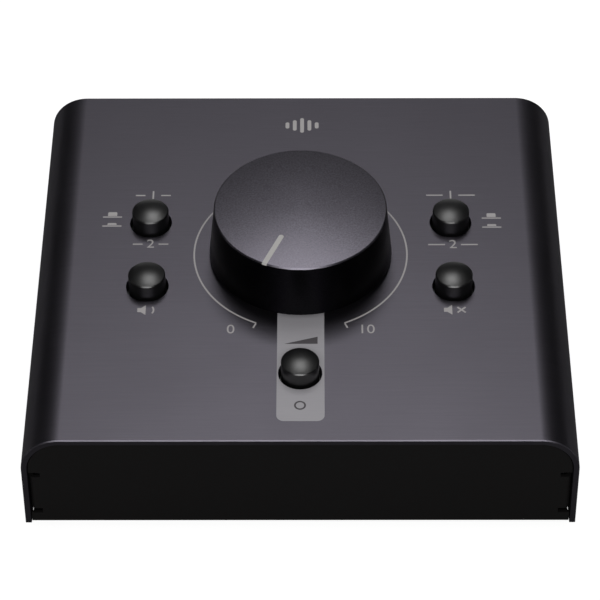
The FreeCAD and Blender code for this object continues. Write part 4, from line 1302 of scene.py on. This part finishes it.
class CONTROLLER_OT_fastenings(bpy.types.Operator):
    """Builds the side screws with their hexagonal recesses, and the rubber feet"""

    bl_idname = "controller.fastenings"
    bl_label = "Screws and feet"

    def execute(self, context):
        finishes = all_finishes(context.scene)
        screw = rounded_corners(
            [
                (0, -SCREW_SINK, 0),
                (SCREW_HEAD_R, -SCREW_SINK, 0.12),
                (SCREW_HEAD_R - 0.05, -SCREW_SINK - 0.1, 0),
                (SCREW_SHANK_R, -SCREW_CONE, 0.1),
                (SCREW_SHANK_R, -SCREW_LENGTH, 0.3),
                (0, -SCREW_LENGTH, 0),
            ]
        )
        recess = [(0, -1.3), (SCREW_RECESS_R, -1.1), (SCREW_RECESS_R, 0.5), (0, 0.5)]
        meshes = []
        for side, y, z in screw_spots():
            solid, hexagon = (
                turned_mesh(profile, lambda points: beside_case(points, side, y, z), steps)
                for profile, steps in ((screw, 48), (recess, 6))
            )
            meshes.append(drilled(solid, hexagon))
        put(
            "socket_head_screws", joined(meshes), [finishes["black_screw"]], INSIDE_CASE,
            replaces=["cover_screws"],
        )
        low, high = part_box("rubber_feet")
        foot = rounded_corners(
            [
                (0, FOOT_HOLLOW_DEPTH, 0),
                (FOOT_HOLLOW_R, FOOT_HOLLOW_DEPTH, 0.2),
                (FOOT_HOLLOW_R + 0.4, 0, 0.2),
                (FOOT_SOLE_R, 0, 0.6),
                (FOOT_R, FOOT_HEIGHT, 0),
                (0, FOOT_HEIGHT, 0),
            ]
        )
        meshes = [
            turned_mesh(foot, lambda points: points * MM + (x, y, 0.0), steps=64)
            for x in (low[0] + FOOT_R * MM, high[0] - FOOT_R * MM)
            for y in (low[1] + FOOT_R * MM, high[1] - FOOT_R * MM)
        ]
        put(
            "moulded_feet", joined(meshes), [finishes["black_rubber"]], INSIDE_CASE,
            replaces=["rubber_feet"],
        )
        return {"FINISHED"}


class CONTROLLER_OT_inside(bpy.types.Operator):
    """Gives every CAD node that still shows the finish of its material slot"""

    bl_idname = "controller.inside"
    bl_label = "Inside parts"

    def execute(self, context):
        finishes = all_finishes(context.scene)
        for part in frame["record"]["subparts"]:
            node = frame["nodes"][part["node"]]
            finish = finishes[part["material_slot"]]
            if not node.material_slots:
                node.data.materials.append(finish)
            for slot in node.material_slots:
                slot.material = finish
        return {"FINISHED"}


# Stage


def stage_plane(name, corners, material):
    """A flat four-cornered piece of the studio."""
    mesh = bpy.data.meshes.new(name)
    mesh.from_pydata(corners, [], [(0, 1, 2, 3)])
    plane = bpy.data.objects.new(name, mesh)
    bpy.context.scene.collection.objects.link(plane)
    mesh.materials.append(material)
    return plane


def level_corners(low, high, height):
    """Corners of a level rectangle between two points (x, y)."""
    (x0, y0), (x1, y1) = low, high
    return [(x0, y0, height), (x1, y0, height), (x1, y1, height), (x0, y1, height)]


def upright_corners(start, stop, low, high):
    """Corners of an upright rectangle over the line between two points (x, y)."""
    return [(*start, low), (*stop, low), (*stop, high), (*start, high)]


def glossy_card(name, corners, material):
    """A studio card that is there for reflections alone."""
    piece = stage_plane(name, corners, material)
    piece.visible_camera = False
    piece.visible_diffuse = False
    piece.visible_shadow = False


def seen_or_mirrored(tree):
    """One for rays from the camera, a reflection or a refraction, and nought for rays that only light."""
    path = add_node(tree, "ShaderNodeLightPath").outputs
    seen = path["Is Camera Ray"]
    for ray in ("Is Glossy Ray", "Is Transmission Ray"):
        seen = add_node(tree, "ShaderNodeMath", {0: seen, 1: path[ray]}, operation="MAXIMUM").outputs[0]
    return seen


def floor_material(colour):
    """Pale matt floor that looks white to the camera and in reflections, and still takes a shadow."""
    material = bpy.data.materials.new("pale_floor")
    tree = blank_tree(material)
    matt = add_node(tree, "ShaderNodeBsdfDiffuse", {"Color": tuple(colour) + (1.0,)})
    half = add_node(tree, "ShaderNodeBsdfDiffuse", {"Color": (FLOOR_GREY,) * 3 + (1.0,)})
    glow = add_node(tree, "ShaderNodeEmission", {"Color": (1, 1, 1, 1), "Strength": FLOOR_GLOW})
    both = add_node(tree, "ShaderNodeAddShader", {0: half.outputs[0], 1: glow.outputs[0]})
    surface = {0: seen_or_mirrored(tree), 1: matt.outputs[0], 2: both.outputs[0]}
    mix = add_node(tree, "ShaderNodeMixShader", surface)
    add_node(tree, "ShaderNodeOutputMaterial", {"Surface": mix.outputs[0]})
    return material


def card_material(name, level):
    """Matt card of some grey."""
    material = bpy.data.materials.new(name)
    tree = blank_tree(material)
    matt = add_node(tree, "ShaderNodeBsdfDiffuse", {"Color": (level, level, level, 1.0)})
    add_node(tree, "ShaderNodeOutputMaterial", {"Surface": matt.outputs[0]})
    return material


def white_world(strength):
    """Room light that is white where it is seen or mirrored, and softer as light."""
    world = bpy.data.worlds.new("white_room")
    tree = blank_tree(world)
    level = {"Value": seen_or_mirrored(tree), "To Min": strength, "To Max": 1.0}
    level = add_node(tree, "ShaderNodeMapRange", level)
    sky = add_node(tree, "ShaderNodeBackground", {"Color": (1, 1, 1, 1), "Strength": level.outputs["Result"]})
    add_node(tree, "ShaderNodeOutputWorld", {"Surface": sky.outputs[0]})
    return world


def area_light(name, place, aim, size, power):
    """A soft rectangular lamp that faces a point."""
    lamp = bpy.data.lights.new(name, "AREA")
    lamp.shape = "RECTANGLE"
    lamp.size, lamp.size_y = size
    lamp.energy = power
    light = bpy.data.objects.new(name, lamp)
    bpy.context.scene.collection.objects.link(light)
    away = Vector(place) - Vector(aim)
    light.matrix_world = Matrix.Translation(place) @ away.to_track_quat("Z", "Y").to_matrix().to_4x4()


def fitted_camera(lens_length):
    """The photograph's camera: turned about Z, then down to the desk, then about its own line of sight."""
    lens = bpy.data.cameras.new("camera")
    lens.lens, lens.sensor_width = lens_length, 36.0
    lens.shift_y = CAMERA_SHIFT_Y
    lens.clip_start, lens.clip_end = 0.01, 20.0
    camera = bpy.data.objects.new("camera", lens)
    bpy.context.scene.collection.objects.link(camera)
    x, y, z = CAMERA_FROM_PANEL
    turn = Matrix.Rotation(CAMERA_PAN, 4, "Z") @ Matrix.Rotation(math.radians(90) - CAMERA_DOWN, 4, "X")
    place = Matrix.Translation((x, Y_FRONT + y, PANEL_FRONT_Z + z))
    camera.matrix_world = place @ turn @ Matrix.Rotation(CAMERA_ROLL, 4, "Z")
    return camera


def add_cards():
    """Cards round the controller, which leave its metal little more than the two lamps to mirror.

    They are black, with low gaps at the rear and the sides that let the white room into the sockets and the
    side walls. On the floor they are grey, with an open strip behind the case.
    """
    black, grey = card_material("black_card", BLACK_CARD), card_material("grey_card", GREY_CARD)
    front, rear, top = CARD_FRONT_Y, CARD_REAR_Y, CARD_TOP_Z
    gap_front, gap_rear = SIDE_GAP_Y
    walls = [
        ("card_rear", (-CARD_X, rear), (CARD_X, rear), REAR_GAP_TOP, top),
        ("card_front", (-CARD_X, front), (CARD_X, front), 0.0, top),
    ]
    for word, side in (("left", -CARD_X), ("right", CARD_X)):
        gap_x = math.copysign(REAR_GAP_X, side)
        walls += [
            ("card_rear_" + word, (side, rear), (gap_x, rear), 0.0, REAR_GAP_TOP),
            ("card_" + word, (side, gap_rear), (side, rear), 0.0, top),
            (f"card_{word}_over", (side, gap_front), (side, gap_rear), SIDE_GAP_TOP, top),
            (f"card_{word}_front", (side, front), (side, gap_front), 0.0, top),
        ]
    for name, start, stop, low, high in walls:
        glossy_card(name, upright_corners(start, stop, low, high), black)
    glossy_card("card_over", level_corners((-CARD_X, front), (CARD_X, rear), top), black)
    near, far = GREY_CARD_Y
    for name, low, high in (
        ("card_floor_left", (-GREY_CARD_X, near), (-OPEN_STRIP_X, far)),
        ("card_floor_front", (-OPEN_STRIP_X, near), (OPEN_STRIP_X, 0.0)),
        ("card_floor_right", (OPEN_STRIP_X, near), (GREY_CARD_X, far)),
    ):
        glossy_card(name, level_corners(low, high, GREY_CARD_Z), grey)


class CONTROLLER_OT_stage(bpy.types.Operator):
    """Sets up the camera, the floor and the studio light"""

    bl_idname = "controller.stage"
    bl_label = "Studio"

    def execute(self, context):
        stage = context.scene.controller_stage
        context.scene.camera = fitted_camera(stage.lens)
        floor_corners = level_corners((-FLOOR_HALF, -FLOOR_HALF), (FLOOR_HALF, FLOOR_HALF), 0.0)
        stage_plane("floor", floor_corners, floor_material(stage.floor_colour))
        context.scene.world = white_world(stage.world_strength)
        # The floor looks white even in shade, so a dark sheet, a little smaller than the case, lies under it.
        shade = card_material("floor_in_shade", SHADE)
        stage_plane("floor_in_shade", level_corners(SHADE_LOW, SHADE_HIGH, SHADE_Z), shade)
        add_cards()
        area_light("overhead", OVERHEAD_PLACE, OVERHEAD_AIM, OVERHEAD_SIZE, stage.key_power)
        area_light("front_lamp", FRONT_LAMP_PLACE, FRONT_LAMP_AIM, FRONT_LAMP_SIZE, stage.front_power)
        context.scene.view_settings.view_transform = "Standard"
        return {"FINISHED"}


# Add-on


OPERATORS = (
    CONTROLLER_OT_stage,
    CONTROLLER_OT_cover,
    CONTROLLER_OT_tray,
    CONTROLLER_OT_knob,
    CONTROLLER_OT_buttons,
    CONTROLLER_OT_printing,
    CONTROLLER_OT_sockets,
    CONTROLLER_OT_fastenings,
    CONTROLLER_OT_inside,
)
SETTINGS = {
    "controller_case": CaseSettings,
    "controller_controls": ControlSettings,
    "controller_print": PrintSettings,
    "controller_stage": StageSettings,
}


class CONTROLLER_PT_pieces(bpy.types.Panel):
    """Lists the controller's sizes, colours and pieces"""

    bl_label = "Monitor controller"
    bl_idname = "CONTROLLER_PT_pieces"
    bl_space_type = "VIEW_3D"
    bl_region_type = "UI"
    bl_category = "Controller"

    def draw(self, context):
        for name, group in SETTINGS.items():
            box = self.layout.box()
            for field in group.__annotations__:
                box.prop(getattr(context.scene, name), field)
        for operator in OPERATORS:
            self.layout.operator(operator.bl_idname)


CLASSES = (*SETTINGS.values(), *OPERATORS, CONTROLLER_PT_pieces)


def register():
    for item in CLASSES:
        bpy.utils.register_class(item)
    for name, group in SETTINGS.items():
        setattr(bpy.types.Scene, name, PointerProperty(type=group))


def unregister():
    for name in SETTINGS:
        delattr(bpy.types.Scene, name)
    for item in reversed(CLASSES):
        bpy.utils.unregister_class(item)


def main():
    register()
    for operator in OPERATORS:
        getattr(bpy.ops.controller, operator.bl_idname.split(".")[1])()


if __name__ == "__main__":
    main()
